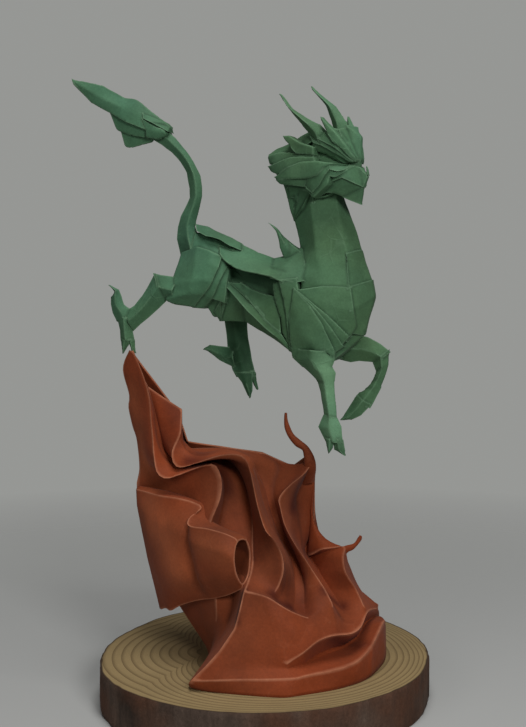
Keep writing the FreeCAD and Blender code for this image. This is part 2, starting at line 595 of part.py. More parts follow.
def neck_pleats():
    front = [
        [(-2.3, -1, 8.4), (4.5, -2, 9.6)],
        [(-10.6, -11, 3), (-8.5, -14.8, 4), (-0.9, -9.8, 9.4)],
    ]
    rear = [
        [(-7.2, 0.5, 6), (-2, -1, 8)],
        [(-12.4, -8, 2.2), (-10.4, -11.3, 3.2), (-6, -7.6, 6.4)],
    ]
    return [body_block(front), body_block(rear)]


def turned_head():
    """All of the head, turned towards the near side about the top of the neck."""
    parts = skull_and_jaws() + brow_pleats() + ears() + horns() + cheeks_and_mane() + neck_pleats()
    for part in parts:
        part.rotate(FreeCAD.Vector(0, 0, 0), FreeCAD.Vector(0, 0, 1), -HEAD_TURN)
        part.translate(FreeCAD.Vector(NECK_TOP_X, 0, NECK_TOP_Z))
    return parts


def kirin():
    """The whole animal, set on the tip of the flame by its standing hoof."""
    layers = neck_and_chest() + shoulder_pleats() + waist_and_belly() + rump_and_thighs()
    layers += saddle_fold() + withers() + withers_fin() + tail() + tuft()
    layers += standing_hind_leg() + lifted_hind_leg() + near_foreleg() + raised_foreleg()
    layers += turned_head()
    folded = join(layers)
    folded.translate(FreeCAD.Vector(0, STANDING_HOOF_SIDE, 0))
    folded.rotate(FreeCAD.Vector(0, 0, 0), FreeCAD.Vector(0, 0, 1), -KIRIN_YAW)
    perch_z = SLICE_THICKNESS + PERCH_HEIGHT - HOOF_GRIP
    folded.translate(FreeCAD.Vector(PERCH_X, PERCH_Y, perch_z))
    return folded


# ---------------------------------------------------------------- flame
def smooth_run(points, count):
    """Evenly spaced points on one smooth curve through the given ones."""
    run = stretch_of(points)
    last = len(points) - 1
    samples = []
    for k in range(count):
        at = k / (count - 1)
        i = 0
        while i < last - 1 and run[i + 1] < at:
            i += 1
        s = (at - run[i]) / max(run[i + 1] - run[i], 1e-9)
        before = points[max(i - 1, 0)]
        start = points[i]
        end = points[i + 1]
        after = points[min(i + 2, last)]
        sample = []
        for axis in range(3):
            tangent = (end[axis] - before[axis]) / 2
            tangent_after = (after[axis] - start[axis]) / 2
            value = (2 * s**3 - 3 * s**2 + 1) * start[axis] + (s**3 - 2 * s**2 + s) * tangent
            value += (3 * s**2 - 2 * s**3) * end[axis] + (s**3 - s**2) * tangent_after
            sample.append(value)
        samples.append(tuple(sample))
    return samples


def pleated_tube(creases, strips, bulges, thickness):
    """A tube of paper through its creases in turn, each panel bulging a little outwards."""
    count = len(creases[0])
    rows = []
    for k, crease in enumerate(creases):
        following = creases[(k + 1) % len(creases)]
        for strip in range(strips if bulges[k] else 1):
            share = strip / strips
            row = []
            for n in range(count):
                a = FreeCAD.Vector(*crease[n])
                b = FreeCAD.Vector(*following[n])
                ahead = FreeCAD.Vector(*crease[min(n + 1, count - 1)])
                along = ahead - FreeCAD.Vector(*crease[max(n - 1, 0)])
                out = along.cross(b - a)
                rise = bulges[k] * (b - a).Length * 4 * share * (1 - share)
                if out.Length > 1e-6 and 0 < n < count - 1:
                    out.normalize()
                else:
                    rise = 0
                row.append(tuple(a + (b - a) * share + out * rise))
            rows.append(row)
    points = [point for row in rows for point in row]
    triangles = []
    for r in range(len(rows)):
        r_next = (r + 1) % len(rows)
        for n in range(count - 1):
            a = r * count + n
            b = r_next * count + n
            triangles.append((a, a + 1, b + 1))
            triangles.append((a, b + 1, b))
    return thin_sheet(points, triangles, thickness)


# The creases are drawn for a flame whose tip is here; the nearer to it, the more closely they
# follow the perch sizes.
DRAWN_TIP = (-64.0, 6.0, 146.0)
# Each crease runs down from the flame's upper edge, as (x, y, height), in three lists: as far
# as the waist, the skirt below it, and the hem's inner rim, valley, outer rim and foot.
FLAME_FRONT = [
    # left edge of the column
    ([(-65, 7, 146), (-68.5, 9, 137), (-65.5, 10, 124), (-66, 11, 118), (-64, 11, 109), (-62, 11, 102),
      (-61, 10.5, 87), (-62, 9, 78), (-57, 6, 56), (-46, 2, 31)],
     [(-39, -1, 20.5)],
     [(-34.5, -3, 14.5), (-31, -4, 9.5), (-28, -5, 5), (-25.5, -6, 0)]),
    # ridge of the column, round under the arch and down its near lip
    ([(-63.3, 5, 146), (-55.5, -3, 128), (-53.5, -6, 113.5), (-52.5, -8, 104.5), (-52, -10, 97.5),
      (-50, -13, 90), (-45, -15, 87.5), (-34.5, -18, 91.5), (-26.5, -20, 94.5), (-22.5, -21, 94),
      (-20, -22, 87.5), (-20.5, -24, 79), (-24, -26, 70), (-25.5, -28, 64.5), (-23.5, -31, 52.5),
      (-22, -31, 39)],
     [(-21.5, -30, 26)],
     [(-22.5, -28, 17), (-23.5, -25, 11), (-24.5, -22, 5), (-25.5, -20, 0)]),
    # valley close behind that lip
    ([(-59, 3, 134), (-54, 0, 122.5), (-52, -2, 110.5), (-50.5, -5, 100.5), (-45, -5, 92.5),
      (-35, -7, 93), (-26.5, -9, 95.2), (-21, -12, 94), (-18.3, -13, 85.5), (-19.5, -14, 73.5),
      (-22, -17, 62), (-19.5, -21, 49), (-14.5, -27, 41)],
     [(-13.5, -33, 33.5), (-16.5, -37, 24)],
     [(-20, -38, 17), (-24, -38, 11), (-28.5, -36, 4.5), (-31.5, -34, 0)]),
    # valley behind the arch, then the left ridge of the front cone
    ([(-56, 3, 129), (-50.5, 0, 110.5), (-48, -1, 100), (-44.5, 2, 93.5), (-33.5, 2, 94.5),
      (-20, 0, 95.5), (-12.5, -3, 90), (-7.5, -8, 80), (-5.5, -12, 68), (-5.5, -18, 57.5),
      (-5, -24, 50), (-6.5, -36, 45.5), (-8.6, -47, 42)],
     [(-10.6, -50, 34.8), (-13, -52, 27)],
     [(-19.5, -54, 17.5), (-25.5, -55.5, 11), (-31.5, -56, 5), (-36, -54, 0)]),
    # lip of the arch, down behind the cone's shoulder
    ([(-39.5, -1, 118.5), (-39.5, -6, 111), (-40, -9, 106.5), (-43.3, -11, 99), (-40.5, -14, 93),
      (-31, -17, 95), (-19.5, -20, 99), (-12, -21, 99.2), (-8.3, -22, 96.5), (-6, -23, 89.5),
      (-3, -27, 76.5), (0.5, -31, 66.5), (5, -34, 61.5), (8, -37, 55.5), (8.5, -39.5, 49),
      (6.5, -41, 43), (4.5, -42, 39.5), (2.5, -47, 39.5), (1.3, -51.5, 41.2)],
     [(2.5, -53.5, 33), (5.5, -55, 23)],
     [(10, -56.5, 13), (9.5, -56.5, 10.5), (9, -61, 7.5), (7, -63, 0)]),
    # three folds of the arch's upper side
    ([(-40, 1, 104), (-38, -6, 98), (-30, -12, 96.5), (-19.7, -15, 99.6), (-11.5, -16.5, 99),
      (-7, -17.5, 95.8), (-4.8, -17.5, 89), (-1.6, -21, 76), (2.2, -25, 65.5), (6.8, -28.5, 59),
      (9.8, -32, 53), (10, -34.5, 46), (8.5, -38, 39.5), (6, -45, 37), (5, -51.7, 38.6)],
     [(6, -54, 31), (8.5, -55, 22)],
     [(12.5, -55.5, 14.5), (12, -55, 10.5), (12, -60.5, 7.5), (10, -62, 0)]),
    ([(-35.5, 1, 98.8), (-28.5, -6, 97.4), (-19.8, -10, 100), (-11, -12, 98.8), (-5.8, -12.5, 95.2),
      (-3.5, -12, 88), (-0.4, -15, 75.5), (3.8, -20, 64.5), (8.5, -23.5, 57), (11.7, -27, 50.5),
      (12, -31.5, 43.5), (11.2, -36, 37.5), (9.5, -44, 34.5), (8.5, -51.5, 36.2)],
     [(9, -54, 29), (11.5, -54.5, 21.5)],
     [(15, -55, 16), (14.5, -53.5, 10.5), (14.5, -60, 7.5), (12.5, -61, 0)]),
    ([(-20, -2, 99.8), (-11.5, -7, 98.3), (-5.5, -8, 95), (-2.5, -7, 87.5), (0.6, -8, 80.5),
      (2.4, -10, 73), (5.4, -14, 63.5), (9.9, -18, 55), (13.4, -22, 48), (14, -28, 41),
      (14, -34, 35.5), (13, -42, 32), (12.8, -50, 33.4)],
     [(13, -53.5, 27), (15, -54, 20.5)],
     [(17.5, -54, 17.5), (17, -51.5, 10.5), (17, -59, 8), (15, -60, 0)]),
    # valley on the right of the hump
    ([(-1, -1, 97), (5.5, 0, 93.5), (7.5, -0.5, 89), (5.2, -3, 85), (4.2, -6, 81), (5.4, -8.5, 73),
      (8.6, -12, 64.5), (13.2, -17, 55), (17.5, -22.5, 46), (19, -29, 39.5), (18.5, -36, 33),
      (18.5, -42, 29.5), (19, -46.5, 30)],
     [(20.5, -50, 26)],
     [(23.5, -50, 21.5), (23, -42, 11), (24.5, -55, 8), (22.5, -57, 0)]),
    # ridge of the right column
    ([(11.5, 2, 88.5), (17, -5, 92), (22.5, -8, 94.5), (19, -10.5, 89), (12.3, -17, 84.7),
      (7, -22, 79.5), (7.3, -23, 75),
      (9.6, -25, 67), (14, -28, 59), (18.5, -30, 53), (23, -33, 46.5), (27.5, -36, 40),
      (30.5, -38, 34.5)],
     [(31.5, -41, 28.5)],
     [(31.5, -46, 22.5), (30, -34, 12), (34, -51, 8.5), (31, -53, 0)]),
    # pocket behind that ridge
    ([(20, 3.5, 95), (22, 1, 91.5), (18.7, -1, 84), (14.7, -6, 76.5), (15.6, -9, 69),
      (17.5, -10, 59.5), (18, -11, 52), (21.5, -16, 44.5), (25.5, -21, 37.5), (30.5, -27, 31.5)],
     [(35, -34, 25.8)],
     [(39, -43, 21.5), (36.5, -28, 12), (42, -46.5, 10), (39.5, -47, 0)]),
    # the column's right edge
    ([(24.8, 3, 91), (24, 2, 84), (22, 1, 70), (22.8, 1, 65.5), (22.8, 2, 57), (19.5, 1, 50.5),
      (23.6, -1, 44.4), (27.1, -7, 38.9), (31, -13, 33.6)],
     [(36, -24, 27.5)],
     [(44.5, -37, 23.5), (42, -22, 13), (49, -37.5, 14), (47.5, -38.5, 0)]),
    # ridge of the fold that carries the curl
    ([(22.5, 1, 54), (21.5, -3, 48.5), (27, -8, 52), (32, -9, 53), (38, -11, 53.8), (37.3, -14, 49.5),
      (38, -18, 43.5), (42.3, -21, 37)],
     [(44.8, -24, 32)],
     [(46.5, -28, 28), (47, -13, 18), (55.5, -21, 21.5), (57, -16, 0)]),
    # outer fold at the right of the hem
    ([(37, 0, 51), (39.5, 2, 46), (42, 3, 37), (47, 0, 29.5)],
     [(51, -2, 26.5), (53, -3, 25)],
     [(55, -4, 24), (55, -3, 20), (58, -7, 18), (59.5, 2, 0)]),
]
FLAME_BACK = [
    [(33, 2.5, 51), (40, 9, 44), (46, 12, 30), (54, 13, 16), (60, 12, 0)],
    [(23.8, 4, 54), (29, 11, 48.5), (40, 18, 34), (52, 18, 16), (59.5, 16, 0)],
    [(24.6, 5.5, 89), (21.5, 11, 70), (21.5, 14, 57), (24, 17, 49), (33, 19, 44), (46, 22, 26), (55, 22, 10),
     (58, 20, 0)],
    [(14, 4.5, 90), (13, 14, 76), (16, 25, 55), (24, 35, 30), (38, 42, 0)],
    [(-1, 2, 97), (1, 12, 78), (3, 22, 52), (9, 29, 28), (16, 34, 0)],
    [(-20, 1, 100), (-17, 16, 82), (-13, 28, 55), (-7, 40, 26), (0, 48, 0)],
    [(-37, 4, 102), (-32, 16, 78), (-27, 24, 52), (-21, 30, 26), (-16, 34, 0)],
    [(-42, 4, 117), (-46, 17, 88), (-42, 26, 55), (-36, 30, 26), (-30, 30, 0)],
    [(-64, 7, 145.5), (-61, 15, 112), (-56, 18, 72), (-42, 17, 32), (-29, 12, 0)],
]
# how far each panel swells, as a share of its width, in the creases' order
FRONT_BULGES = [0.05, 0, 0.03, 0, 0, 0, 0, 0.03, 0.02, 0.02, 0.04, 0.03, 0.03, 0]
BACK_BULGES = [0] * len(FLAME_BACK)

# The sleeve on the flame's front is rolled to the right; its creases run left to right.
SLEEVE = [
    [(-61.5, 7, 80), (-49.5, -5, 80), (-39.5, -11, 78.5), (-32.5, -16, 77), (-27, -18, 74.5),
     (-27, -22, 70.5), (-23, -26, 68.5), (-18, -31, 67), (-12, -35, 65.5), (-7.5, -36, 63.5)],
    [(-62, 5.5, 78.5), (-49, -12, 78.5), (-40, -19, 78.5), (-33, -21, 77), (-29, -21.5, 74.5),
     (-34, -27, 70.5), (-33.5, -31, 68), (-26, -36, 68), (-18, -39.5, 66.5), (-12, -41, 64)],
    [(-61.5, 5, 71), (-52.5, -11, 67), (-43.5, -22, 65.5), (-37, -27, 64), (-33.8, -29, 63),
     (-33.6, -33, 62), (-27, -39, 60.5), (-21, -43, 59.5), (-16, -45.5, 59), (-13.4, -46, 57.5)],
    [(-56.5, 3, 46), (-50, -10, 40.5), (-43.5, -20, 40.5), (-36.5, -26, 41.5), (-30.5, -28, 43),
     (-30, -33, 44.5), (-24.5, -38, 46.5), (-19, -42, 48), (-12.8, -45.5, 49.5)],
    [(-50, 0, 21), (-47, -6, 23.5), (-44.5, -10, 23.5), (-39.5, -16, 27.5), (-33.5, -22, 31),
     (-28, -27, 33.5), (-22.5, -32, 35.5), (-16, -38, 38.5), (-9.8, -42, 42.5)],
    [(-54, 4.5, 34.5), (-47.5, -3, 35), (-41.5, -9, 36.5), (-36, -14, 38.5), (-30.5, -19, 39.5),
     (-25, -23, 41), (-19.5, -27, 42.5), (-13, -31, 44), (-6.8, -36, 46.5)],
    [(-59.5, 7, 64), (-52, -3, 65), (-44.5, -8, 65.5), (-38, -13, 64.5), (-32, -18, 62.5),
     (-26.5, -22, 61), (-20.5, -25, 59), (-13, -29, 57), (-5.7, -32, 55.5)],
]
SLEEVE_SAMPLES = 14
SLEEVE_BULGES = [0, 0.08, 0.08, 0.08, 0.05, 0, 0]

TONGUE = [((17.5, 84.5), (23.5, 86), -6, 2.2), ((19.3, 93), (24.3, 91), -8, 1.6),
          ((19, 97.5), (23.5, 96), -8.5, 1.2), ((18.2, 100), (20.7, 101), -8.5, 1),
          ((15, 102), (17.2, 104), -8.5, 0.9), ((11.8, 106), (13.8, 107), -8, 0.8),
          ((10.1, 110), (11.8, 111), -7.5, 0.7), ((9.8, 114), (10.8, 114.2), -7, 0.6),
          ((10, 117), (10.6, 117), -6.5, 0.4)]
CURL = [((26, 52), (36, 43), -4, 1.4), ((34, 51.5), (38, 45.5), -5, 1.2), ((39, 53), (39.5, 50), -5.5, 0.9),
        ((43, 54.3), (42.6, 52), -6, 0.7), ((45, 57), (46, 56), -6, 0.5),
        ((45.8, 58.2), (46.4, 57.8), -6, 0.3)]


def to_perch(points):
    """The drawn points, with the upper part of the column led to the perch."""
    tip_x, tip_y, tip_z = DRAWN_TIP
    moved = []
    for x, y, z in points:
        share = (z / tip_z) ** 6
        moved.append((x + (PERCH_X - tip_x) * share, y + (PERCH_Y - tip_y) * share,
                      z + (PERCH_HEIGHT - tip_z) * share))
    return moved


def flame():
    """One tall sheet, pleated into a hollow tongue of fire that stands on its hem."""
    front = []
    for upper, skirt, hem in FLAME_FRONT:
        lower = smooth_run(upper[-1:] + skirt, SKIRT_SAMPLES + 1)[1:]
        front.append(to_perch(smooth_run(upper, UPPER_SAMPLES) + lower + hem))
    back = [to_perch(smooth_run(crease, len(front[0]))) for crease in FLAME_BACK]
    body = pleated_tube(front + back, PANEL_STRIPS, FRONT_BULGES + BACK_BULGES, FLAME_PAPER)
    sleeve_creases = [to_perch(smooth_run(crease, SLEEVE_SAMPLES)) for crease in SLEEVE]
    sleeve = pleated_tube(sleeve_creases, PANEL_STRIPS, SLEEVE_BULGES, SLEEVE_PAPER)
    folded = join([body, sleeve, strap(TONGUE), strap(CURL)])
    folded.translate(FreeCAD.Vector(0, 0, SLICE_THICKNESS))
    return folded


# ---------------------------------------------------------------- wood slice
def slice_outline(radius):
    """The trunk's slightly uneven outline, as one closed wire."""
    points = []
    for k in range(SLICE_SIDES):
        turn = 2 * math.pi * k / SLICE_SIDES
        wave = (0.5 + 0.75 * math.sin(turn + 0.55) + math.sin(2 * turn - 1.03)
                + 0.2 * math.sin(3 * turn + 2.65) + 0.12 * math.sin(9 * turn))
        r = radius + SLICE_WAVINESS * wave
        points.append(FreeCAD.Vector(r * math.cos(turn), r * math.sin(turn), 0))
    return Part.makePolygon(points + points[:1])


def wood_slice():
    """A round slice of a trunk, with its bark on."""
    disc = Part.Face(slice_outline(SLICE_DIAMETER / 2)).extrude(FreeCAD.Vector(0, 0, SLICE_THICKNESS))
    rims = [edge for edge in disc.Edges if edge.BoundBox.ZLength < SEW_TOLERANCE]
    return disc.makeChamfer(SLICE_EDGE_BEVEL, rims)


def main():
    os.makedirs("parts", exist_ok=True)
    for name, make in (("wood_slice", wood_slice), ("flame", flame), ("kirin", kirin)):
        make().exportStep("parts/" + name + ".step")


main()
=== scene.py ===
"""Looks of a folded paper kirin on a paper flame and a round slice of wood."""
import math

import bmesh
import bpy
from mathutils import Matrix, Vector, noise
from mathutils.kdtree import KDTree


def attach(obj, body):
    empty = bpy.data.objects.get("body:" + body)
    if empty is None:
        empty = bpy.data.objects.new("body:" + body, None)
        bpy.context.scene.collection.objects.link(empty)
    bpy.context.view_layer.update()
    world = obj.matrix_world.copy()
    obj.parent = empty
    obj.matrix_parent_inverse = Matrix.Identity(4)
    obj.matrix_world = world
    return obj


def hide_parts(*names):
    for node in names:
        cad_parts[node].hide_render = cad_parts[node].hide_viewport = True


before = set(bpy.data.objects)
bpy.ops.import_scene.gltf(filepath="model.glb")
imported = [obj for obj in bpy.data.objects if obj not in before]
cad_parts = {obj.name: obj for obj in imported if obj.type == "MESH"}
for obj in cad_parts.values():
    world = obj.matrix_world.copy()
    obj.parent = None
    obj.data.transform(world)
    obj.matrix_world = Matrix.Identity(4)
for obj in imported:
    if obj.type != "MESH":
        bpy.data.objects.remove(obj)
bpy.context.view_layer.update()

bl_info = {
    "name": "Folded paper kirin",
    "version": (1, 0, 0),
    "blender": (4, 2, 0),
    "location": "View3D > Sidebar > Paper kirin",
    "description": "Builds the looks of a folded paper kirin on its flame and wood slice",
    "category": "Object",
}

MM = 0.001
SLICE_RADIUS = 80 * MM
SLICE_THICKNESS = 20 * MM
WAVER_SEED = 1


# ---------------------------------------------------------------- material helpers
def shade(color, factor):
    """The colour made darker or lighter, and never past white."""
    return tuple(min(c * factor, 1.0) for c in color)


class Nodes:
    """Short ways to add and link shader nodes in one material."""

    def __init__(self, name, roughness, specular):
        self.material = bpy.data.materials.new(name)
        self.material.use_nodes = True
        self.tree = self.material.node_tree
        self.shader = self.tree.nodes["Principled BSDF"]
        self.shader.inputs["Roughness"].default_value = roughness
        self.shader.inputs["Specular IOR Level"].default_value = specular

    def add(self, kind, **settings):
        """A new node of this kind."""
        node = self.tree.nodes.new(kind)
        for key, value in settings.items():
            setattr(node, key, value)
        return node

    def link(self, output, socket):
        """Feeds an output into a socket."""
        self.tree.links.new(output, socket)

    def place(self):
        """Where the surface lies, in the object's own metres."""
        return self.add("ShaderNodeTexCoord").outputs["Object"]

    def attribute(self, name):
        """A layer of the mesh."""
        return self.add("ShaderNodeAttribute", attribute_name=name).outputs["Fac"]

    def noise(self, scale, detail, roughness, stretch=None):
        """Cloudy noise of this fineness, drawn out along an axis if stretch says so."""
        node = self.add("ShaderNodeTexNoise")
        node.inputs["Scale"].default_value = scale
        node.inputs["Detail"].default_value = detail
        node.inputs["Roughness"].default_value = roughness
        source = self.place()
        if stretch:
            mapping = self.add("ShaderNodeMapping")
            mapping.inputs["Scale"].default_value = stretch
            self.link(source, mapping.inputs["Vector"])
            source = mapping.outputs["Vector"]
        self.link(source, node.inputs["Vector"])
        return node.outputs["Fac"]

    def warped_cells(self, feature, scale, warp_scale, warp):
        """Distances in a cell pattern whose borders are bent by noise, up to warp metres."""
        place = self.place()
        bend = self.add("ShaderNodeTexNoise")
        bend.inputs["Scale"].default_value = warp_scale
        self.link(place, bend.inputs["Vector"])
        shift = self.add("ShaderNodeVectorMath", operation="SCALE")
        shift.inputs["Scale"].default_value = warp
        self.link(bend.outputs["Color"], shift.inputs[0])
        moved = self.add("ShaderNodeVectorMath", operation="ADD")
        self.link(place, moved.inputs[0])
        self.link(shift.outputs["Vector"], moved.inputs[1])
        node = self.add("ShaderNodeTexVoronoi", feature=feature)
        node.inputs["Scale"].default_value = scale
        self.link(moved.outputs["Vector"], node.inputs["Vector"])
        return node.outputs["Distance"]

    def dents(self, scale):
        """Soft facets, as in paper that has been handled."""
        return self.warped_cells("F1", scale, scale * 0.8, 0.012)

    def wrinkles(self, scale):
        """Thin creases in broken straight runs: the borders of large warped cells, here and there."""
        borders = self.warped_cells("DISTANCE_TO_EDGE", scale, scale * 0.5, 0.006)
        line = self.level(borders, 0.0, 0.035, 1.0, 0.0)
        return self.math("MULTIPLY", line, self.level(self.noise(45, 3, 0.6), 0.50, 0.68))

    def ramp(self, source, *stops):
        """The source as colour, by stops of (position, colour)."""
        node = self.add("ShaderNodeValToRGB")
        elements = node.color_ramp.elements
        while len(elements) < len(stops):
            elements.new(1.0)
        for element, (position, color) in zip(elements, stops):
            element.position = position
            element.color = (*color, 1.0)
        self.link(source, node.inputs["Fac"])
        return node.outputs["Color"]

    def level(self, source, low, high, start=0.0, end=1.0):
        """The source stretched from low..high onto start..end."""
        node = self.add("ShaderNodeMapRange")
        for name, value in (("From Min", low), ("From Max", high), ("To Min", start), ("To Max", end)):
            node.inputs[name].default_value = value
        self.link(source, node.inputs["Value"])
        return node.outputs["Result"]

    def math(self, operation, a, b=None):
        """A sum on sockets or numbers."""
        node = self.add("ShaderNodeMath", operation=operation)
        for socket, value in zip(node.inputs, (a, b)):
            if isinstance(value, (int, float)):
                socket.default_value = value
            elif value is not None:
                self.link(value, socket)
        return node.outputs["Value"]

    def mix(self, factor, a, b, blend="MIX"):
        """Two colours mixed; each of the three may be a socket or a plain value."""
        node = self.add("ShaderNodeMix", data_type="RGBA", blend_type=blend)
        for socket, value in ((node.inputs[0], factor), (node.inputs[6], a), (node.inputs[7], b)):
            if isinstance(value, (int, float)):
                socket.default_value = value
            elif isinstance(value, tuple):
                socket.default_value = (*value, 1.0)
            else:
                self.link(value, socket)
        return node.outputs[2]

    def multiply(self, a, b):
        """Two colours multiplied."""
        return self.mix(1.0, a, b, "MULTIPLY")

    def finish(self, color, *bumps):
        """Links the colour and chained bumps, each (height, strength, distance in metres)."""
        self.link(color, self.shader.inputs["Base Color"])
        normal = None
        for height, strength, distance in bumps:
            node = self.add("ShaderNodeBump")
            node.inputs["Strength"].default_value = strength
            node.inputs["Distance"].default_value = distance
            self.link(height, node.inputs["Height"])
            if normal:
                self.link(normal, node.inputs["Normal"])
            normal = node.outputs["Normal"]
        if normal:
            self.link(normal, self.shader.inputs["Normal"])
        return self.material


def paper_material(name, color, worn, roughness, wrinkled):
    """Dyed craft paper: mottled, fibrous, lighter along its folds, with painted shade in its valleys.

    The mesh gives "fold", 1 on a folded ridge, "crease", 1 in a valley, where shade is painted,
    and "tone", painted light and shade, from -1, painted shade, to 1, painted light.
    """
    n = Nodes(name, roughness, specular=0.15)
    n.shader.inputs["Sheen Weight"].default_value = 0.03
    n.shader.inputs["Sheen Roughness"].default_value = 0.6
    patches = n.ramp(n.noise(38, 5, 0.6), (0.3, shade(color, 0.72)), (0.52, color),
                     (0.75, shade(color, 1.22)))
    # the dye is warmer in some places and cooler in others
    cool, warm = (0.88, 1.0, 1.10), (1.12, 1.02, 0.90)
    drifting = n.multiply(patches, n.ramp(n.noise(13, 3, 0.5), (0.36, cool), (0.64, warm)))
    # painted shade and painted light keep the paper's hue
    shade_tint = tuple(0.36 * (c / max(color)) ** 0.3 for c in color)
    light_tint = tuple(1.75 * (c / max(color)) ** -0.13 for c in color)
    tone = n.level(n.attribute("tone"), -1.0, 1.0)
    painted_light_and_shade = n.multiply(drifting, n.ramp(tone, (0.0, shade_tint), (0.5, (1.0, 1.0, 1.0)), (1.0, light_tint)))
    specks = n.level(n.noise(900, 3, 0.7), 0.35, 0.7, 0.9, 1.08)
    mottled = n.multiply(painted_light_and_shade, specks)
    # painted shade in the valleys, where the crease layer is high
    in_valley = n.level(n.attribute("crease"), 0.2, 1.0, 0.0, 0.55)
    shaded = n.mix(in_valley, mottled, shade(color, 0.35))
    wrinkles = n.wrinkles(85)
    creased = n.mix(n.math("MULTIPLY", wrinkles, wrinkled), shaded, worn)
    scuffs = n.noise(160, 6, 0.75)
    on_ridge = n.level(n.attribute("fold"), 0.35, 1.0)
    rubbed = n.math("MULTIPLY", on_ridge, n.level(scuffs, 0.3, 0.62, 0.35, 1.0))
    lit = n.mix(n.math("MULTIPLY", rubbed, 0.9), creased, worn)
    dusty = n.mix(n.level(scuffs, 0.6, 0.82, 0.0, 0.22), lit, worn)
    fibres = n.noise(700, 4, 0.7, (1.0, 1.0, 0.35))
    return n.finish(dusty, (n.noise(60, 3, 0.5), 0.5, 0.0012), (n.dents(70), 0.5, 0.0007),
                    (wrinkles, 1.6 * wrinkled, 0.0003), (fibres, 0.4, 0.00018),
                    (n.noise(2200, 2, 0.6), 0.25, 0.0001))


# ---------------------------------------------------------------- mesh helpers
def new_object(name, bm):
    """The finished mesh as an object in the scene."""
    mesh = bpy.data.meshes.new(name)
    bm.to_mesh(mesh)
    bm.free()
    piece = bpy.data.objects.new(name, mesh)
    bpy.context.scene.collection.objects.link(piece)
    return piece


def bend_of(edge):
    """How far an edge is folded, in degrees: above zero on a ridge, below in a valley."""
    if len(edge.link_faces) != 2:
        return 0.0
    return math.degrees(edge.calc_face_angle_signed(0.0))


def divide_long_edges(bm, longest, most_passes=7):
    """Splits edges until none is longer than this, and keeps the faces triangles."""
    for _ in range(most_passes):
        long_edges = [edge for edge in bm.edges if edge.calc_length() > longest]
        if not long_edges:
            break
        bmesh.ops.subdivide_edges(bm, edges=long_edges, cuts=1, use_grid_fill=False)
        bmesh.ops.triangulate(bm, faces=[face for face in bm.faces if len(face.verts) > 3])


def relax(bm, verts, passes):
    """Draws these vertices towards their neighbours, this many times."""
    for _ in range(passes):
        bmesh.ops.smooth_vert(bm, verts=verts, factor=0.5,
                              use_axis_x=True, use_axis_y=True, use_axis_z=True)


def nearest(points):
    """A search tree over these points."""
    tree = KDTree(len(points))
    for k, point in enumerate(points):
        tree.insert(point, k)
    tree.balance()
    return tree


def mark_distance(bm, layer, sources, reach):
    """Fills a vertex layer with 1 on the sources, falling to 0 at the reach."""
    if not sources:
        return
    tree = nearest(sources)
    for vert in bm.verts:
        distance = tree.find(vert.co)[2]
        vert[layer] = max(0.0, 1.0 - distance / reach)


def points_along(edges, spacing):
    """Points along these edges, at most this far apart."""
    points = []
    for edge in edges:
        a, b = edge.verts[0].co, edge.verts[1].co
        count = max(1, int(edge.calc_length() / spacing))
        points += [a.lerp(b, k / count) for k in range(count + 1)]
    return points


def on_slice(point):
    """A point given in millimetres above the slice, in the scene's metres."""
    return Vector(point) * MM + Vector((0, 0, SLICE_THICKNESS))


def path_points(path, spacing):
    """Points this far apart along a path given in millimetres above the slice."""
    points = []
    for a, b in zip(path, path[1:]):
        steps = max(1, int(math.dist(a, b) / spacing))
        points += [on_slice(Vector(a).lerp(Vector(b), step / steps)) for step in range(steps + 1)]
    return points


def paint_light_and_shade(bm, tones):
    """Paints light and shade into the "tone" layer along paths: each has its points, its reach in mm and its
    tone.
    """
    layer = bm.verts.layers.float.new("tone")
    for path, reach, tone in tones:
        tree = nearest(path_points(path, 0.7))
        for vert in bm.verts:
            share = 1 - tree.find(vert.co)[2] / (reach * MM)
            if share > 0:
                vert[layer] += tone * share * share * (3 - 2 * share)


def waver(bm, fineness, amount, shift):
    """Moves the vertices by smooth noise, as paper never lies quite flat.

    shift takes another stretch of the noise. The seed makes each run give the same sheet.
    """
    noise.seed_set(WAVER_SEED)
    for vert in bm.verts:
        vert.co += noise.noise_vector(vert.co * fineness + Vector((shift, 0, 0))) * amount


# ---------------------------------------------------------------- kirin
# painted light and shade on its paper: points in millimetres above the slice, reach, tone
KIRIN_LIGHT_AND_SHADE = [
    # painted shade on the hanging hind leg and its spur, and on the belly between the legs
    ([(-16, 9, 160), (-12.5, 8, 146), (-8, 8, 136), (-6.5, 7.5, 126)], 12, -0.85),
    ([(-24, 8, 150), (-14, 8, 143)], 8, -0.5),
    ([(-10, -4, 180), (0, -10, 172), (10, -20, 160)], 13, -0.45),
    # painted light on the near foreleg
    ([(28, -27, 142), (31, -27, 126), (32, -27, 110)], 10, 1.0),
    # painted light on the mane
    ([(7, -12, 236), (16, -20, 230)], 9, 0.35),
]
# bends of an edge, in degrees: below zero it is a valley
VALLEY_BEND = -25
FOLD_BEND = 26
RIDGE_BEND = 62
SHARP_BEND = 95
# how far from a fold its worn line and its shade reach
RIDGE_REACH = 1.1 * MM
VALLEY_REACH = 1.6 * MM


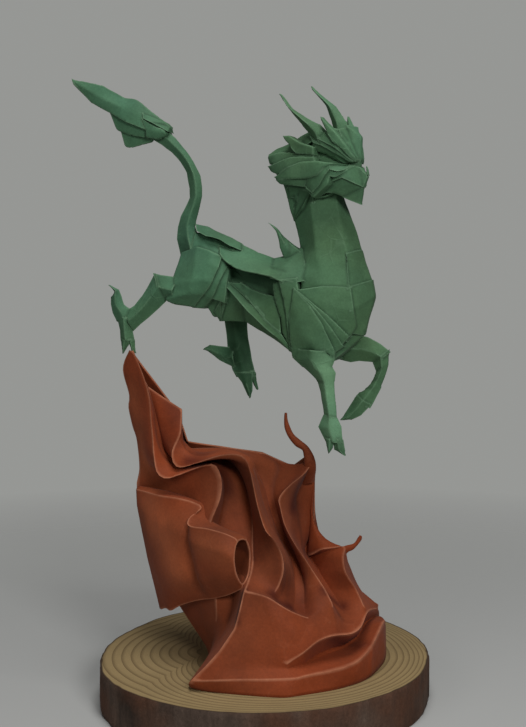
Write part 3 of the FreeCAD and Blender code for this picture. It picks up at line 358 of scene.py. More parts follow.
def folded_copy(node, name, longest, soften, round_off, wave):
    """A node's solid as fine paper: facets soften between its folds, and folds round off a little."""
    bm = bmesh.new()
    bm.from_mesh(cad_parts[node].data)
    bmesh.ops.remove_doubles(bm, verts=bm.verts, dist=0.02 * MM)
    bmesh.ops.dissolve_limit(bm, angle_limit=math.radians(1.5), verts=bm.verts, edges=bm.edges)
    bmesh.ops.triangulate(bm, faces=bm.faces, quad_method="BEAUTY", ngon_method="BEAUTY")
    fold = bm.verts.layers.float.new("fold")
    crease = bm.verts.layers.float.new("crease")
    bends = {edge: bend_of(edge) for edge in bm.edges}
    ridge_points = points_along([edge for edge, bend in bends.items() if bend > RIDGE_BEND], 0.4 * MM)
    valley_points = points_along([edge for edge, bend in bends.items() if bend < VALLEY_BEND], 0.4 * MM)
    # a seam marks a folded edge, also in its parts once it is divided
    for edge, bend in bends.items():
        edge.smooth = VALLEY_BEND < bend < SHARP_BEND
        edge.seam = abs(bend) > FOLD_BEND
    divide_long_edges(bm, longest)
    for face in bm.faces:
        face.smooth = True
    free = [vert for vert in bm.verts if not any(edge.seam for edge in vert.link_edges)]
    rounded = [vert for vert in bm.verts if all(edge.smooth for edge in vert.link_edges)]
    relax(bm, free, soften)
    relax(bm, rounded, round_off)
    mark_distance(bm, fold, ridge_points, RIDGE_REACH)
    # painted shade along the valleys
    mark_distance(bm, crease, valley_points, VALLEY_REACH)
    waver(bm, fineness=90, amount=wave, shift=3.0)
    waver(bm, fineness=260, amount=wave * 0.35, shift=7.0)
    # painted light and shade on the kirin's paper
    paint_light_and_shade(bm, KIRIN_LIGHT_AND_SHADE)
    return new_object(name, bm)


class KIRIN_OT_kirin(bpy.types.Operator):
    """Build the folded paper kirin"""

    bl_idname = "kirin.kirin"
    bl_label = "Kirin"

    def execute(self, context):
        props = context.scene.paper_kirin
        kirin = folded_copy("kirin", "kirin_paper", longest=1.3 * MM, soften=10, round_off=2,
                            wave=props.kirin_waver)
        kirin.data.materials.append(paper_material("green paper", tuple(props.kirin_color),
                                                   tuple(props.kirin_worn),
                                                   roughness=0.62, wrinkled=0.30))
        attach(kirin, "root")
        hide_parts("kirin")
        return {"FINISHED"}


# ---------------------------------------------------------------- flame
# The sheet's creases in turn, in millimetres above the slice. Each runs down from the upper
# edge in three lists: to the waist, the skirt below it, and the hem's inner rim, valley,
# outer rim and foot.
FLAME_FRONT = [
    # left edge of the column
    ([(-65, 7, 146), (-68.5, 9, 137), (-65.5, 10, 124), (-66, 11, 118), (-64, 11, 109), (-62, 11, 102),
      (-61, 10.5, 87), (-62, 9, 78), (-57, 6, 56), (-46, 2, 31)],
     [(-39, -1, 20.5)],
     [(-34.5, -3, 14.5), (-31, -4, 9.5), (-28, -5, 5), (-25.5, -6, 0)]),
    # ridge of the column, round under the arch and down its near lip
    ([(-63.3, 5, 146), (-55.5, -3, 128), (-53.5, -6, 113.5), (-52.5, -8, 104.5), (-52, -10, 97.5),
      (-50, -13, 90), (-45, -15, 87.5), (-34.5, -18, 91.5), (-26.5, -20, 94.5), (-22.5, -21, 94),
      (-20, -22, 87.5), (-20.5, -24, 79), (-24, -26, 70), (-25.5, -28, 64.5), (-23.5, -31, 52.5),
      (-22, -31, 39)],
     [(-21.5, -30, 26)],
     [(-22.5, -28, 17), (-23.5, -25, 11), (-24.5, -22, 5), (-25.5, -20, 0)]),
    # valley close behind that lip
    ([(-59, 3, 134), (-54, 0, 122.5), (-52, -2, 110.5), (-50.5, -5, 100.5), (-45, -5, 92.5),
      (-35, -7, 93), (-26.5, -9, 95.2), (-21, -12, 94), (-18.3, -13, 85.5), (-19.5, -14, 73.5),
      (-22, -17, 62), (-19.5, -21, 49), (-14.5, -27, 41)],
     [(-13.5, -33, 33.5), (-16.5, -37, 24)],
     [(-20, -38, 17), (-24, -38, 11), (-28.5, -36, 4.5), (-31.5, -34, 0)]),
    # valley behind the arch, then the left ridge of the front cone
    ([(-56, 3, 129), (-50.5, 0, 110.5), (-48, -1, 100), (-44.5, 2, 93.5), (-33.5, 2, 94.5),
      (-20, 0, 95.5), (-12.5, -3, 90), (-7.5, -8, 80), (-5.5, -12, 68), (-5.5, -18, 57.5),
      (-5, -24, 50), (-6.5, -36, 45.5), (-8.6, -47, 42)],
     [(-10.6, -50, 34.8), (-13, -52, 27)],
     [(-19.5, -54, 17.5), (-25.5, -55.5, 11), (-31.5, -56, 5), (-36, -54, 0)]),
    # lip of the arch, down behind the cone's shoulder
    ([(-39.5, -1, 118.5), (-39.5, -6, 111), (-40, -9, 106.5), (-43.3, -11, 99), (-40.5, -14, 93),
      (-31, -17, 95), (-19.5, -20, 99), (-12, -21, 99.2), (-8.3, -22, 96.5), (-6, -23, 89.5),
      (-3, -27, 76.5), (0.5, -31, 66.5), (5, -34, 61.5), (8, -37, 55.5), (8.5, -39.5, 49),
      (6.5, -41, 43), (4.5, -42, 39.5), (2.5, -47, 39.5), (1.3, -51.5, 41.2)],
     [(2.5, -53.5, 33), (5.5, -55, 23)],
     [(10, -56.5, 13), (9.5, -56.5, 10.5), (9, -61, 7.5), (7, -63, 0)]),
    # three folds of the arch's upper side
    ([(-40, 1, 104), (-38, -6, 98), (-30, -12, 96.5), (-19.7, -15, 99.6), (-11.5, -16.5, 99),
      (-7, -17.5, 95.8), (-4.8, -17.5, 89), (-1.6, -21, 76), (2.2, -25, 65.5), (6.8, -28.5, 59),
      (9.8, -32, 53), (10, -34.5, 46), (8.5, -38, 39.5), (6, -45, 37), (5, -51.7, 38.6)],
     [(6, -54, 31), (8.5, -55, 22)],
     [(12.5, -55.5, 14.5), (12, -55, 10.5), (12, -60.5, 7.5), (10, -62, 0)]),
    ([(-35.5, 1, 98.8), (-28.5, -6, 97.4), (-19.8, -10, 100), (-11, -12, 98.8), (-5.8, -12.5, 95.2),
      (-3.5, -12, 88), (-0.4, -15, 75.5), (3.8, -20, 64.5), (8.5, -23.5, 57), (11.7, -27, 50.5),
      (12, -31.5, 43.5), (11.2, -36, 37.5), (9.5, -44, 34.5), (8.5, -51.5, 36.2)],
     [(9, -54, 29), (11.5, -54.5, 21.5)],
     [(15, -55, 16), (14.5, -53.5, 10.5), (14.5, -60, 7.5), (12.5, -61, 0)]),
    ([(-20, -2, 99.8), (-11.5, -7, 98.3), (-5.5, -8, 95), (-2.5, -7, 87.5), (0.6, -8, 80.5),
      (2.4, -10, 73), (5.4, -14, 63.5), (9.9, -18, 55), (13.4, -22, 48), (14, -28, 41),
      (14, -34, 35.5), (13, -42, 32), (12.8, -50, 33.4)],
     [(13, -53.5, 27), (15, -54, 20.5)],
     [(17.5, -54, 17.5), (17, -51.5, 10.5), (17, -59, 8), (15, -60, 0)]),
    # valley on the right of the hump
    ([(-1, -1, 97), (5.5, 0, 93.5), (7.5, -0.5, 89), (5.2, -3, 85), (4.2, -6, 81), (5.4, -8.5, 73),
      (8.6, -12, 64.5), (13.2, -17, 55), (17.5, -22.5, 46), (19, -29, 39.5), (18.5, -36, 33),
      (18.5, -42, 29.5), (19, -46.5, 30)],
     [(20.5, -50, 26)],
     [(23.5, -50, 21.5), (23, -42, 11), (24.5, -55, 8), (22.5, -57, 0)]),
    # ridge of the right column
    ([(11.5, 2, 88.5), (17, -5, 92), (22.5, -8, 94.5), (19, -10.5, 89), (12.3, -17, 84.7),
      (7, -22, 79.5), (7.3, -23, 75),
      (9.6, -25, 67), (14, -28, 59), (18.5, -30, 53), (23, -33, 46.5), (27.5, -36, 40),
      (30.5, -38, 34.5)],
     [(31.5, -41, 28.5)],
     [(31.5, -46, 22.5), (30, -34, 12), (34, -51, 8.5), (31, -53, 0)]),
    # pocket behind that ridge
    ([(20, 3.5, 95), (22, 1, 91.5), (18.7, -1, 84), (14.7, -6, 76.5), (15.6, -9, 69),
      (17.5, -10, 59.5), (18, -11, 52), (21.5, -16, 44.5), (25.5, -21, 37.5), (30.5, -27, 31.5)],
     [(35, -34, 25.8)],
     [(39, -43, 21.5), (36.5, -28, 12), (42, -46.5, 10), (39.5, -47, 0)]),
    # the column's right edge
    ([(24.8, 3, 91), (24, 2, 84), (22, 1, 70), (22.8, 1, 65.5), (22.8, 2, 57), (19.5, 1, 50.5),
      (23.6, -1, 44.4), (27.1, -7, 38.9), (31, -13, 33.6)],
     [(36, -24, 27.5)],
     [(44.5, -37, 23.5), (42, -22, 13), (49, -37.5, 14), (47.5, -38.5, 0)]),
    # ridge of the fold that carries the curl
    ([(22.5, 1, 54), (21.5, -3, 48.5), (27, -8, 52), (32, -9, 53), (38, -11, 53.8), (37.3, -14, 49.5),
      (38, -18, 43.5), (42.3, -21, 37)],
     [(44.8, -24, 32)],
     [(46.5, -28, 28), (47, -13, 18), (55.5, -21, 21.5), (57, -16, 0)]),
    # outer fold at the right of the hem
    ([(37, 0, 51), (39.5, 2, 46), (42, 3, 37), (47, 0, 29.5)],
     [(51, -2, 26.5), (53, -3, 25)],
     [(55, -4, 24), (55, -3, 20), (58, -7, 18), (59.5, 2, 0)]),
]
FLAME_BACK = [
    [(33, 2.5, 51), (40, 9, 44), (46, 12, 30), (54, 13, 16), (60, 12, 0)],
    [(23.8, 4, 54), (29, 11, 48.5), (40, 18, 34), (52, 18, 16), (59.5, 16, 0)],
    [(24.6, 5.5, 89), (21.5, 11, 70), (21.5, 14, 57), (24, 17, 49), (33, 19, 44), (46, 22, 26), (55, 22, 10),
     (58, 20, 0)],
    [(14, 4.5, 90), (13, 14, 76), (16, 25, 55), (24, 35, 30), (38, 42, 0)],
    [(-1, 2, 97), (1, 12, 78), (3, 22, 52), (9, 29, 28), (16, 34, 0)],
    [(-20, 1, 100), (-17, 16, 82), (-13, 28, 55), (-7, 40, 26), (0, 48, 0)],
    [(-37, 4, 102), (-32, 16, 78), (-27, 24, 52), (-21, 30, 26), (-16, 34, 0)],
    [(-42, 4, 117), (-46, 17, 88), (-42, 26, 55), (-36, 30, 26), (-30, 30, 0)],
    [(-64, 7, 145.5), (-61, 15, 112), (-56, 18, 72), (-42, 17, 32), (-29, 12, 0)],
]
# The sleeve rolled to the right on the flame's front: its creases run left to right.
SLEEVE = [
    [(-61.5, 7, 80), (-49.5, -5, 80), (-39.5, -11, 78.5), (-32.5, -16, 77), (-27, -18, 74.5),
     (-27, -22, 70.5), (-23, -26, 68.5), (-18, -31, 67), (-12, -35, 65.5), (-7.5, -36, 63.5)],
    [(-62, 5.5, 78.5), (-49, -12, 78.5), (-40, -19, 78.5), (-33, -21, 77), (-29, -21.5, 74.5),
     (-34, -27, 70.5), (-33.5, -31, 68), (-26, -36, 68), (-18, -39.5, 66.5), (-12, -41, 64)],
    [(-61.5, 5, 71), (-52.5, -11, 67), (-43.5, -22, 65.5), (-37, -27, 64), (-33.8, -29, 63),
     (-33.6, -33, 62), (-27, -39, 60.5), (-21, -43, 59.5), (-16, -45.5, 59), (-13.4, -46, 57.5)],
    [(-56.5, 3, 46), (-50, -10, 40.5), (-43.5, -20, 40.5), (-36.5, -26, 41.5), (-30.5, -28, 43),
     (-30, -33, 44.5), (-24.5, -38, 46.5), (-19, -42, 48), (-12.8, -45.5, 49.5)],
    [(-50, 0, 21), (-47, -6, 23.5), (-44.5, -10, 23.5), (-39.5, -16, 27.5), (-33.5, -22, 31),
     (-28, -27, 33.5), (-22.5, -32, 35.5), (-16, -38, 38.5), (-9.8, -42, 42.5)],
    [(-54, 4.5, 34.5), (-47.5, -3, 35), (-41.5, -9, 36.5), (-36, -14, 38.5), (-30.5, -19, 39.5),
     (-25, -23, 41), (-19.5, -27, 42.5), (-13, -31, 44), (-6.8, -36, 46.5)],
    [(-59.5, 7, 64), (-52, -3, 65), (-44.5, -8, 65.5), (-38, -13, 64.5), (-32, -18, 62.5),
     (-26.5, -22, 61), (-20.5, -25, 59), (-13, -29, 57), (-5.7, -32, 55.5)],
]
# Two thin points of paper. Each station has the two edges as (x, height), then y and the thickness.
TONGUE = [((18, 82.5), (23.8, 83.5), -1, 1.6), ((19.3, 93), (24.3, 91), -8, 1.6),
          ((19, 97.5), (23.5, 96), -8.5, 1.2), ((18.2, 100), (20.7, 101), -8.5, 1),
          ((15, 102), (17.2, 104), -8.5, 0.9), ((11.8, 106), (13.8, 107), -8, 0.8),
          ((10.1, 110), (11.8, 111), -7.5, 0.7), ((9.8, 114), (10.8, 114.2), -7, 0.6),
          ((10, 117), (10.6, 117), -6.5, 0.4)]
CURL = [((26, 52), (36, 43), -4, 1.4), ((34, 51.5), (38, 45.5), -5, 1.2), ((39, 53), (39.5, 50), -5.5, 0.9),
        ((43, 54.3), (42.6, 52), -6, 0.7), ((45, 57), (46, 56), -6, 0.5),
        ((45.8, 58.2), (46.4, 57.8), -6, 0.3)]

# rows from the upper edge to the waist, down the skirt, and in each of the hem's four steps
UPPER_ROWS = 58
SKIRT_ROWS = 14
HEM_STEPS = 5
SLEEVE_ROWS = 60
TONGUE_ROWS = 60
CURL_ROWS = 40
# where the columns of vertices lie between one crease and the next, as shares of the panel
PANEL_STEPS = (0.0, 0.05, 0.14, 0.27, 0.42, 0.58, 0.73, 0.86, 0.95)
# the folds, by crease, as the lowest height at which each one is folded
SHARP_FOLDS = {0: 0, 1: 24, 3: 4, 4: 40.5, 9: 33, 12: 29, 13: 24}
# creases that keep their place but are round, in the same way
HELD_CREASES = {5: 60, 6: 60, 7: 60, 11: 0, 14: 0, 22: 0}
# the valleys where shade is painted, in the same way
VALLEYS = {2: 26, 3: 50, 8: 34, 10: 26}
SLEEVE_SHARP_FOLDS = {1: 0, 4: 0}
SLEEVE_HELD_CREASES = {0: 0}
# faint folds that cross the creases, as points on the sheet
FAINT_FOLDS = [[(-16, -54, 22), (-7, -56, 17), (2, -57, 14.5), (10, -56.5, 13)]]
SLEEVE_FOLDS = [[(-34, -28, 70), (-33.7, -31, 62.5), (-30.2, -30.5, 44), (-28, -28.5, 36)]]
# how often the lines across the creases are evened out
RIM_PASSES = 30
# how far a fold's worn line, a hollow's shade and a faint fold's line and hold reach
FOLD_REACH = 0.75 * MM
HOLLOW_REACH = 3.5 * MM
FAINT_REACH = 1.0 * MM
FAINT_HOLD = 0.5 * MM
FAINT_WEAR = 0.62
# the least half thickness of a thin point, in millimetres
THINNEST = 0.2

# painted light and shade on the paper, as for the kirin
FLAME_LIGHT_AND_SHADE = [
    # painted light on the column and painted shade on the flap beside it
    ([(-61, 9, 126), (-58, 6, 104), (-57, 6, 90)], 11, 0.95),
    ([(-44, -2, 120), (-42, -5, 104)], 10, -0.55),
    # painted shade under the lip of the arch
    ([(-38, -6, 93), (-27, -9, 94), (-20, -12, 91), (-18.5, -13, 82)], 8, -1.0),
    ([(-36, -14, 95), (-27.5, -15, 93), (-22, -16, 91)], 5, -0.9),
    # painted light on the sleeve's flat end and its roll, and painted shade in its mouth
    ([(-56, -5, 72), (-45, -15, 60), (-38, -20, 48)], 17, 0.9),
    ([(-26, -37, 60), (-16, -42, 56)], 9, 0.5),
    ([(-8, -33, 60), (-9, -32, 50)], 6, -0.4),
    # painted shade in the hollow behind the right column's ridge, and in the notch above the curl
    ([(22, -4, 88), (17, -9, 82), (12.5, -13, 74)], 8, -0.9),
    ([(19.5, -7, 51), (23, -3, 48), (25.5, -6, 50)], 4, -0.9),
    # painted shade beside the cone's peak, at the foot of the lip and right of it
    ([(-8, -44.5, 43), (-10, -47, 39), (-11.5, -48, 34), (-12, -51, 30)], 3, -1.0),
    ([(3.5, -44, 40), (6, -47, 38), (8.5, -46, 36), (11.5, -43, 34)], 5, -0.9),
    ([(27.5, -36, 40), (31.5, -22, 33), (36.5, -23.5, 29)], 5, -0.9),
    # painted shade on the cone's right shoulder and the panels above it
    ([(10, -37, 42), (17, -38, 33)], 13, -0.55),
    ([(15, -8, 74), (16, -18, 60)], 8, -0.4),
    # painted shade inside the hem's right fold
    ([(31.5, -43, 20), (39.5, -29, 14), (45, -33, 13)], 7, -0.7),
]


def smooth_run(points, count):
    """Evenly spaced points on one smooth curve through the given ones."""
    run = [0.0]
    for a, b in zip(points, points[1:]):
        run.append(run[-1] + math.dist(a, b))
    run = [value / run[-1] for value in run]
    last = len(points) - 1
    samples = []
    for k in range(count):
        at = k / (count - 1)
        i = 0
        while i < last - 1 and run[i + 1] < at:
            i += 1
        s = (at - run[i]) / max(run[i + 1] - run[i], 1e-9)
        before, start = Vector(points[max(i - 1, 0)]), Vector(points[i])
        end, after = Vector(points[i + 1]), Vector(points[min(i + 2, last)])
        samples.append((2 * s**3 - 3 * s**2 + 1) * start + (s**3 - 2 * s**2 + s) * (end - before) / 2
                       + (3 * s**2 - 2 * s**3) * end + (s**3 - s**2) * (after - start) / 2)
    return samples


def straight_run(points, steps):
    """Points along straight stretches, this many to a stretch, without the first point."""
    samples = []
    for a, b in zip(points, points[1:]):
        samples += [Vector(a).lerp(Vector(b), step / steps) for step in range(1, steps + 1)]
    return samples


def even_out(line, passes, ring=False):
    """Rounds the corners of one line of vertices; its ends stay unless it is a ring."""
    for _ in range(passes):
        spots = [vert.co.copy() for vert in line]
        for k in range(0 if ring else 1, len(line) if ring else len(line) - 1):
            line[k].co = (spots[k - 1] + 2 * spots[k] + spots[(k + 1) % len(line)]) / 4


def crisp_line(bm, line):
    """Shades the edges along one line of vertices as a sharp fold."""
    for pair in zip(line, line[1:]):
        edge = bm.edges.get(pair)
        if edge:
            edge.smooth = False


def folded_sheet(creases, sharp, held_creases, valleys, faint_folds, rims, open_ends, soften):
    """A ring of creases as one fine sheet: panels and valleys relax, the named folds stay.

    rims gives (row, first crease, last crease, folded or not) for lines across the creases,
    open_ends the ends of the creases, 0 or -1, where the paper's edge shows.
    """
    bm = bmesh.new()
    fold = bm.verts.layers.float.new("fold")
    crease = bm.verts.layers.float.new("crease")
    columns = []
    for k, line in enumerate(creases):
        following = creases[(k + 1) % len(creases)]
        for share in PANEL_STEPS:
            columns.append([bm.verts.new(on_slice(a.lerp(b, share))) for a, b in zip(line, following)])
    for c, column in enumerate(columns):
        after = columns[(c + 1) % len(columns)]
        for n in range(len(column) - 1):
            bm.faces.new((column[n], column[n + 1], after[n + 1], after[n])).smooth = True

    width = len(PANEL_STEPS)

    def crease_above(number, low):
        return [vert for vert in columns[number * width] if vert.co.z >= SLICE_THICKNESS + low * MM]

    held = {column[end] for column in columns for end in (0, -1)}
    folded = [column[end] for column in columns for end in open_ends]
    for number, low in sharp.items():
        line = crease_above(number, low)
        held.update(line)
        folded += line
        crisp_line(bm, line)
    for number, low in held_creases.items():
        held.update(crease_above(number, low))
    for row, first, last, is_fold in rims:
        line = [column[row] for column in columns[first * width:last * width + 1]]
        even_out(line, RIM_PASSES, ring=len(line) == len(columns))
        held.update(line)
        if is_fold:
            folded += line
            crisp_line(bm, line)
    near_faint = nearest([point for path in faint_folds for point in path_points(path, 0.3)])
    held.update(vert for vert in bm.verts if near_faint.find(vert.co)[2] < FAINT_HOLD)
    relax(bm, [vert for vert in bm.verts if vert not in held], soften)
    mark_distance(bm, fold, [vert.co.copy() for vert in folded], FOLD_REACH)
    for vert in bm.verts:
        share = 1 - near_faint.find(vert.co)[2] / FAINT_REACH
        vert[fold] = max(vert[fold], FAINT_WEAR * share)
    # painted shade along the valleys that darken
    hollows = [vert.co.copy() for number, low in valleys.items() for vert in crease_above(number, low)]
    mark_distance(bm, crease, hollows, HOLLOW_REACH)
    return bm


def ribbon(stations, rows, sides=12):
    """A tapering paper point, lens-shaped across, through its stations."""
    first = smooth_run([(xa, y, za) for (xa, za), _, y, _ in stations], rows)
    second = smooth_run([(xb, y, zb) for _, (xb, zb), y, _ in stations], rows)
    thickness = smooth_run([(k, t, 0) for k, (_, _, _, t) in enumerate(stations)], rows)
    bm = bmesh.new()
    fold = bm.verts.layers.float.new("fold")
    for layer in ("crease", "tone"):
        bm.verts.layers.float.new(layer)
    rings = []
    for a, b, t in zip(first, second, thickness):
        ring = []
        for k in range(sides):
            turn = 2 * math.pi * k / sides
            spot = (a + b) / 2 + (a - b) / 2 * math.cos(turn)
            spot.y += max(t.y, THINNEST) * math.sin(turn) * abs(math.sin(turn)) ** 0.3
            vert = bm.verts.new(on_slice(spot))
            # its two edges are worn
            vert[fold] = 0.8 if k in (0, sides // 2) else 0.0
            ring.append(vert)
        rings.append(ring)
    for lower, upper in zip(rings, rings[1:]):
        for k in range(sides):
            after = (k + 1) % sides
            bm.faces.new((lower[k], upper[k], upper[after], lower[after])).smooth = True
    bm.faces.new(rings[0])
    bm.faces.new(list(reversed(rings[-1])))
    return bm


def merge_meshes(name, parts):
    """Several meshes as one object."""
    whole = bmesh.new()
    for part in parts:
        mesh = bpy.data.meshes.new("part")
        part.to_mesh(mesh)
        part.free()
        whole.from_mesh(mesh)
        bpy.data.meshes.remove(mesh)
    return new_object(name, whole)


def flame_body():
    """The hollow tongue of fire, from its upper edge down to the hem's foot."""
    creases = []
    for upper, skirt, hem in FLAME_FRONT:
        below_waist = smooth_run(upper[-1:] + skirt, SKIRT_ROWS + 1)[1:]
        below_skirt = straight_run(skirt[-1:] + hem, HEM_STEPS)
        creases.append(smooth_run(upper, UPPER_ROWS) + below_waist + below_skirt)
    creases += [smooth_run(line, len(creases[0])) for line in FLAME_BACK]
    waist = UPPER_ROWS - 1
    inner_rim, valley, outer_rim, foot = (waist + SKIRT_ROWS + k * HEM_STEPS for k in (1, 2, 3, 4))
    rims = ((waist, 3, 8, True), (inner_rim, 4, 14, True), (valley, 4, 14, False),
            (outer_rim, 3, 14, True), (foot, 0, 14, False))
    return folded_sheet(creases, SHARP_FOLDS, HELD_CREASES, VALLEYS, FAINT_FOLDS,
                        rims=rims, open_ends=(0,), soften=8)


def flame_sleeve():
    """The sleeve on its front, whose mouth, at the creases' last row, is evened out round."""
    creases = [smooth_run(line, SLEEVE_ROWS) for line in SLEEVE]
    mouth = (-1, 0, len(SLEEVE), False)
    return folded_sheet(creases, SLEEVE_SHARP_FOLDS, SLEEVE_HELD_CREASES, {}, SLEEVE_FOLDS,
                        rims=(mouth,), open_ends=(0, -1), soften=10)


class KIRIN_OT_flame(bpy.types.Operator):
    """Build the folded paper flame"""

    bl_idname = "kirin.flame"
    bl_label = "Flame"

    def execute(self, context):
        props = context.scene.paper_kirin
        body, sleeve = flame_body(), flame_sleeve()
        waver(body, fineness=60, amount=props.flame_waver, shift=5.0)
        waver(sleeve, fineness=60, amount=props.flame_waver, shift=9.0)
        # painted light and shade on the flame's paper
        for sheet in (body, sleeve):
            paint_light_and_shade(sheet, FLAME_LIGHT_AND_SHADE)
        points = [ribbon(TONGUE, TONGUE_ROWS), ribbon(CURL, CURL_ROWS)]
        flame = merge_meshes("flame_paper", [body, sleeve, *points])
        solid = flame.modifiers.new("paper", "SOLIDIFY")
        solid.thickness = props.flame_thickness
        solid.offset = 0
        flame.data.materials.append(paper_material("red paper", tuple(props.flame_color),
                                                   tuple(props.flame_worn),
                                                   roughness=0.66, wrinkled=0.08))
        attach(flame, "root")
        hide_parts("flame")
        return {"FINISHED"}


# ---------------------------------------------------------------- wood slice
# how uneven the outline is, and how far the bark swells on the left
WAVINESS = 2.6 * MM
SWELL = 1.5 * MM
WALL_ROWS = 14
# edges bent further than this, in degrees, show as sharp
RIM_BEND = 35
# the pith's place, the number of growth rings and the colour of the line under the bark
PITH_X = -28 * MM
RINGS = 11.5
INNER_BARK = (0.055, 0.036, 0.022)


def rim_radius(turn):
    """The trunk's uneven outline, out to the bark."""
    wave = (0.5 + 0.75 * math.sin(turn + 0.55) + math.sin(2 * turn - 1.03)
            + 0.2 * math.sin(3 * turn + 2.65) + 0.12 * math.sin(9 * turn))
    # the bark stands out a little on the left
    swell = SWELL * max(0.0, math.cos(turn + 2.75)) ** 6
    return SLICE_RADIUS + WAVINESS * wave + swell


def bark_column(bm, turn, bark_depth):
    """Vertices up the bark at this turn, cut inwards by its roughness and fissures."""
    direction = Vector((math.cos(turn), math.sin(turn), 0))
    edge = rim_radius(turn)
    column = []
    for row in range(WALL_ROWS + 1):
        z = SLICE_THICKNESS * row / WALL_ROWS
        spot = direction * edge + Vector((0, 0, z * 0.35))
        rough = noise.fractal(spot * 150, 0.8, 2.1, 4) * 0.5 + 0.5
        fissure = abs(noise.noise(direction * edge * 75 + Vector((0, 0, z * 12))))
        cut = bark_depth * min(1.0, 0.55 * rough + 0.9 * max(0.0, 0.35 - fissure) / 0.35)
        # both rims are a little worn back
        inset = 0.7 * MM + 0.5 * cut if row in (0, WALL_ROWS) else cut
        column.append(bm.verts.new(direction * (edge - inset) + Vector((0, 0, z))))
    return column


def slice_mesh(turns, rounds, bark_depth):
    """Top face, bark wall and underside of the slice; the bark is the second material."""
    bm = bmesh.new()
    rim = bm.verts.layers.float.new("rim")
    columns = [bark_column(bm, 2 * math.pi * k / turns, bark_depth) for k in range(turns)]
    for column in columns:
        for vert in column:
            vert[rim] = 1.0
    shares = [1 - step / rounds for step in range(1, rounds)]
    ends = []
    for row, z in ((WALL_ROWS, SLICE_THICKNESS), (0, 0.0)):
        spokes = []
        for column in columns:
            outer = column[row]
            inner = [bm.verts.new((outer.co.x * share, outer.co.y * share, z)) for share in shares]
            spokes.append([outer, *inner])
        ends.append((spokes, bm.verts.new((0, 0, z))))
    for k in range(turns):
        after = (k + 1) % turns
        for row in range(WALL_ROWS):
            wall = (columns[k][row], columns[after][row], columns[after][row + 1], columns[k][row + 1])
            bm.faces.new(wall).material_index = 1
        for spokes, centre in ends:
            here, there = spokes[k], spokes[after]
            for step in range(rounds - 1):
                bm.faces.new((here[step], there[step], there[step + 1], here[step + 1]))
            bm.faces.new((here[-1], there[-1], centre))
    bmesh.ops.recalc_face_normals(bm, faces=bm.faces)
    for face in bm.faces:
        face.smooth = True
    for edge in bm.edges:
        if abs(bend_of(edge)) > RIM_BEND:
            edge.smooth = False
    return bm


def ring_phase(n, radius, from_x):
    """The count of growth rings out from the pith: wide on its near side, crowded on the far side."""
    across = n.math("DIVIDE", from_x, n.math("MAXIMUM", radius, 0.0005))
    # how far the rim lies from the pith in this direction, on a round slice
    lean = n.math("MULTIPLY", across, -PITH_X)
    inside = n.math("ADD", n.math("MULTIPLY", lean, lean), SLICE_RADIUS**2 - PITH_X**2)
    reach = n.math("ADD", lean, n.math("SQRT", inside))
    wobble = n.math("MULTIPLY", n.math("SUBTRACT", n.noise(16, 3, 0.5), 0.5), 0.0035)
    share = n.math("DIVIDE", n.math("ADD", radius, wobble), reach)
    crowding = n.level(across, -0.45, 1.0, 1.0, 5.5)
    return n.math("MULTIPLY", n.math("POWER", n.math("MAXIMUM", share, 0.0), crowding), RINGS)


def end_grain_material(light, dark):
    """Sawn end grain: eccentric growth rings, mottled wood and a dark inner bark line."""
    n = Nodes("end grain", roughness=0.78, specular=0.2)
    apart = n.add("ShaderNodeSeparateXYZ")
    n.link(n.place(), apart.inputs["Vector"])
    from_x, y = n.math("SUBTRACT", apart.outputs["X"], PITH_X), apart.outputs["Y"]
    radius = n.math("SQRT", n.math("ADD", n.math("MULTIPLY", from_x, from_x), n.math("MULTIPLY", y, y)))
    within = n.math("FRACT", ring_phase(n, radius, from_x))
    late_wood = n.ramp(within, (0.0, (0.03,) * 3), (0.55, (0.12,) * 3), (0.84, (0.75,) * 3),
                       (0.93, (1.0,) * 3), (1.0, (0.03,) * 3))
    fibres = n.noise(1400, 4, 0.7)
    base = n.mix(n.level(n.noise(34, 4, 0.6), 0.35, 0.7), light, shade(light, 0.86))
    ringed = n.mix(n.math("MULTIPLY", late_wood, 0.82), base, dark)
    grained = n.multiply(ringed, n.level(fibres, 0.3, 0.75, 0.86, 1.08))
    # the heart is darker, and a narrow band under the bark is darker still
    heart = n.mix(n.level(radius, 0.0, 0.03, 0.35, 0.0), grained, dark)
    rimmed = n.mix(n.level(n.attribute("rim"), 0.72, 0.92), heart, INNER_BARK)
    return n.finish(rimmed, (late_wood, 0.3, 0.0004), (fibres, 0.35, 0.0002))


def bark_material(color):
    """Grey-brown flaky bark with dark fissures and rusty patches."""
    n = Nodes("bark", roughness=0.9, specular=0.15)
    plates = n.noise(60, 6, 0.65, (1.0, 1.0, 0.3))
    grey = n.ramp(plates, (0.28, shade(color, 0.3)), (0.45, color), (0.57, shade(color, 1.5)),
                  (0.72, shade(color, 2.4)))
    rusty = n.level(n.noise(28, 3, 0.5), 0.44, 0.6, 0.0, 0.7)
    warm = n.mix(rusty, grey, (color[0] * 1.7, color[1] * 1.05, color[2] * 0.75))
    fine = n.noise(700, 5, 0.75)
    done = n.multiply(warm, n.level(fine, 0.3, 0.75, 0.7, 1.2))
    return n.finish(done, (plates, 0.9, 0.0016), (fine, 0.6, 0.0004))


class KIRIN_OT_slice(bpy.types.Operator):
    """Build the wood slice with its rings and bark"""

    bl_idname = "kirin.slice"
    bl_label = "Wood slice"

    def execute(self, context):
        props = context.scene.paper_kirin
        disc = new_object("wood_disc", slice_mesh(turns=360, rounds=24, bark_depth=props.bark_depth))
        disc.data.materials.append(end_grain_material(tuple(props.wood_color), tuple(props.ring_color)))
        disc.data.materials.append(bark_material(tuple(props.bark_color)))
        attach(disc, "root")
        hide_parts("wood_slice")
        return {"FINISHED"}


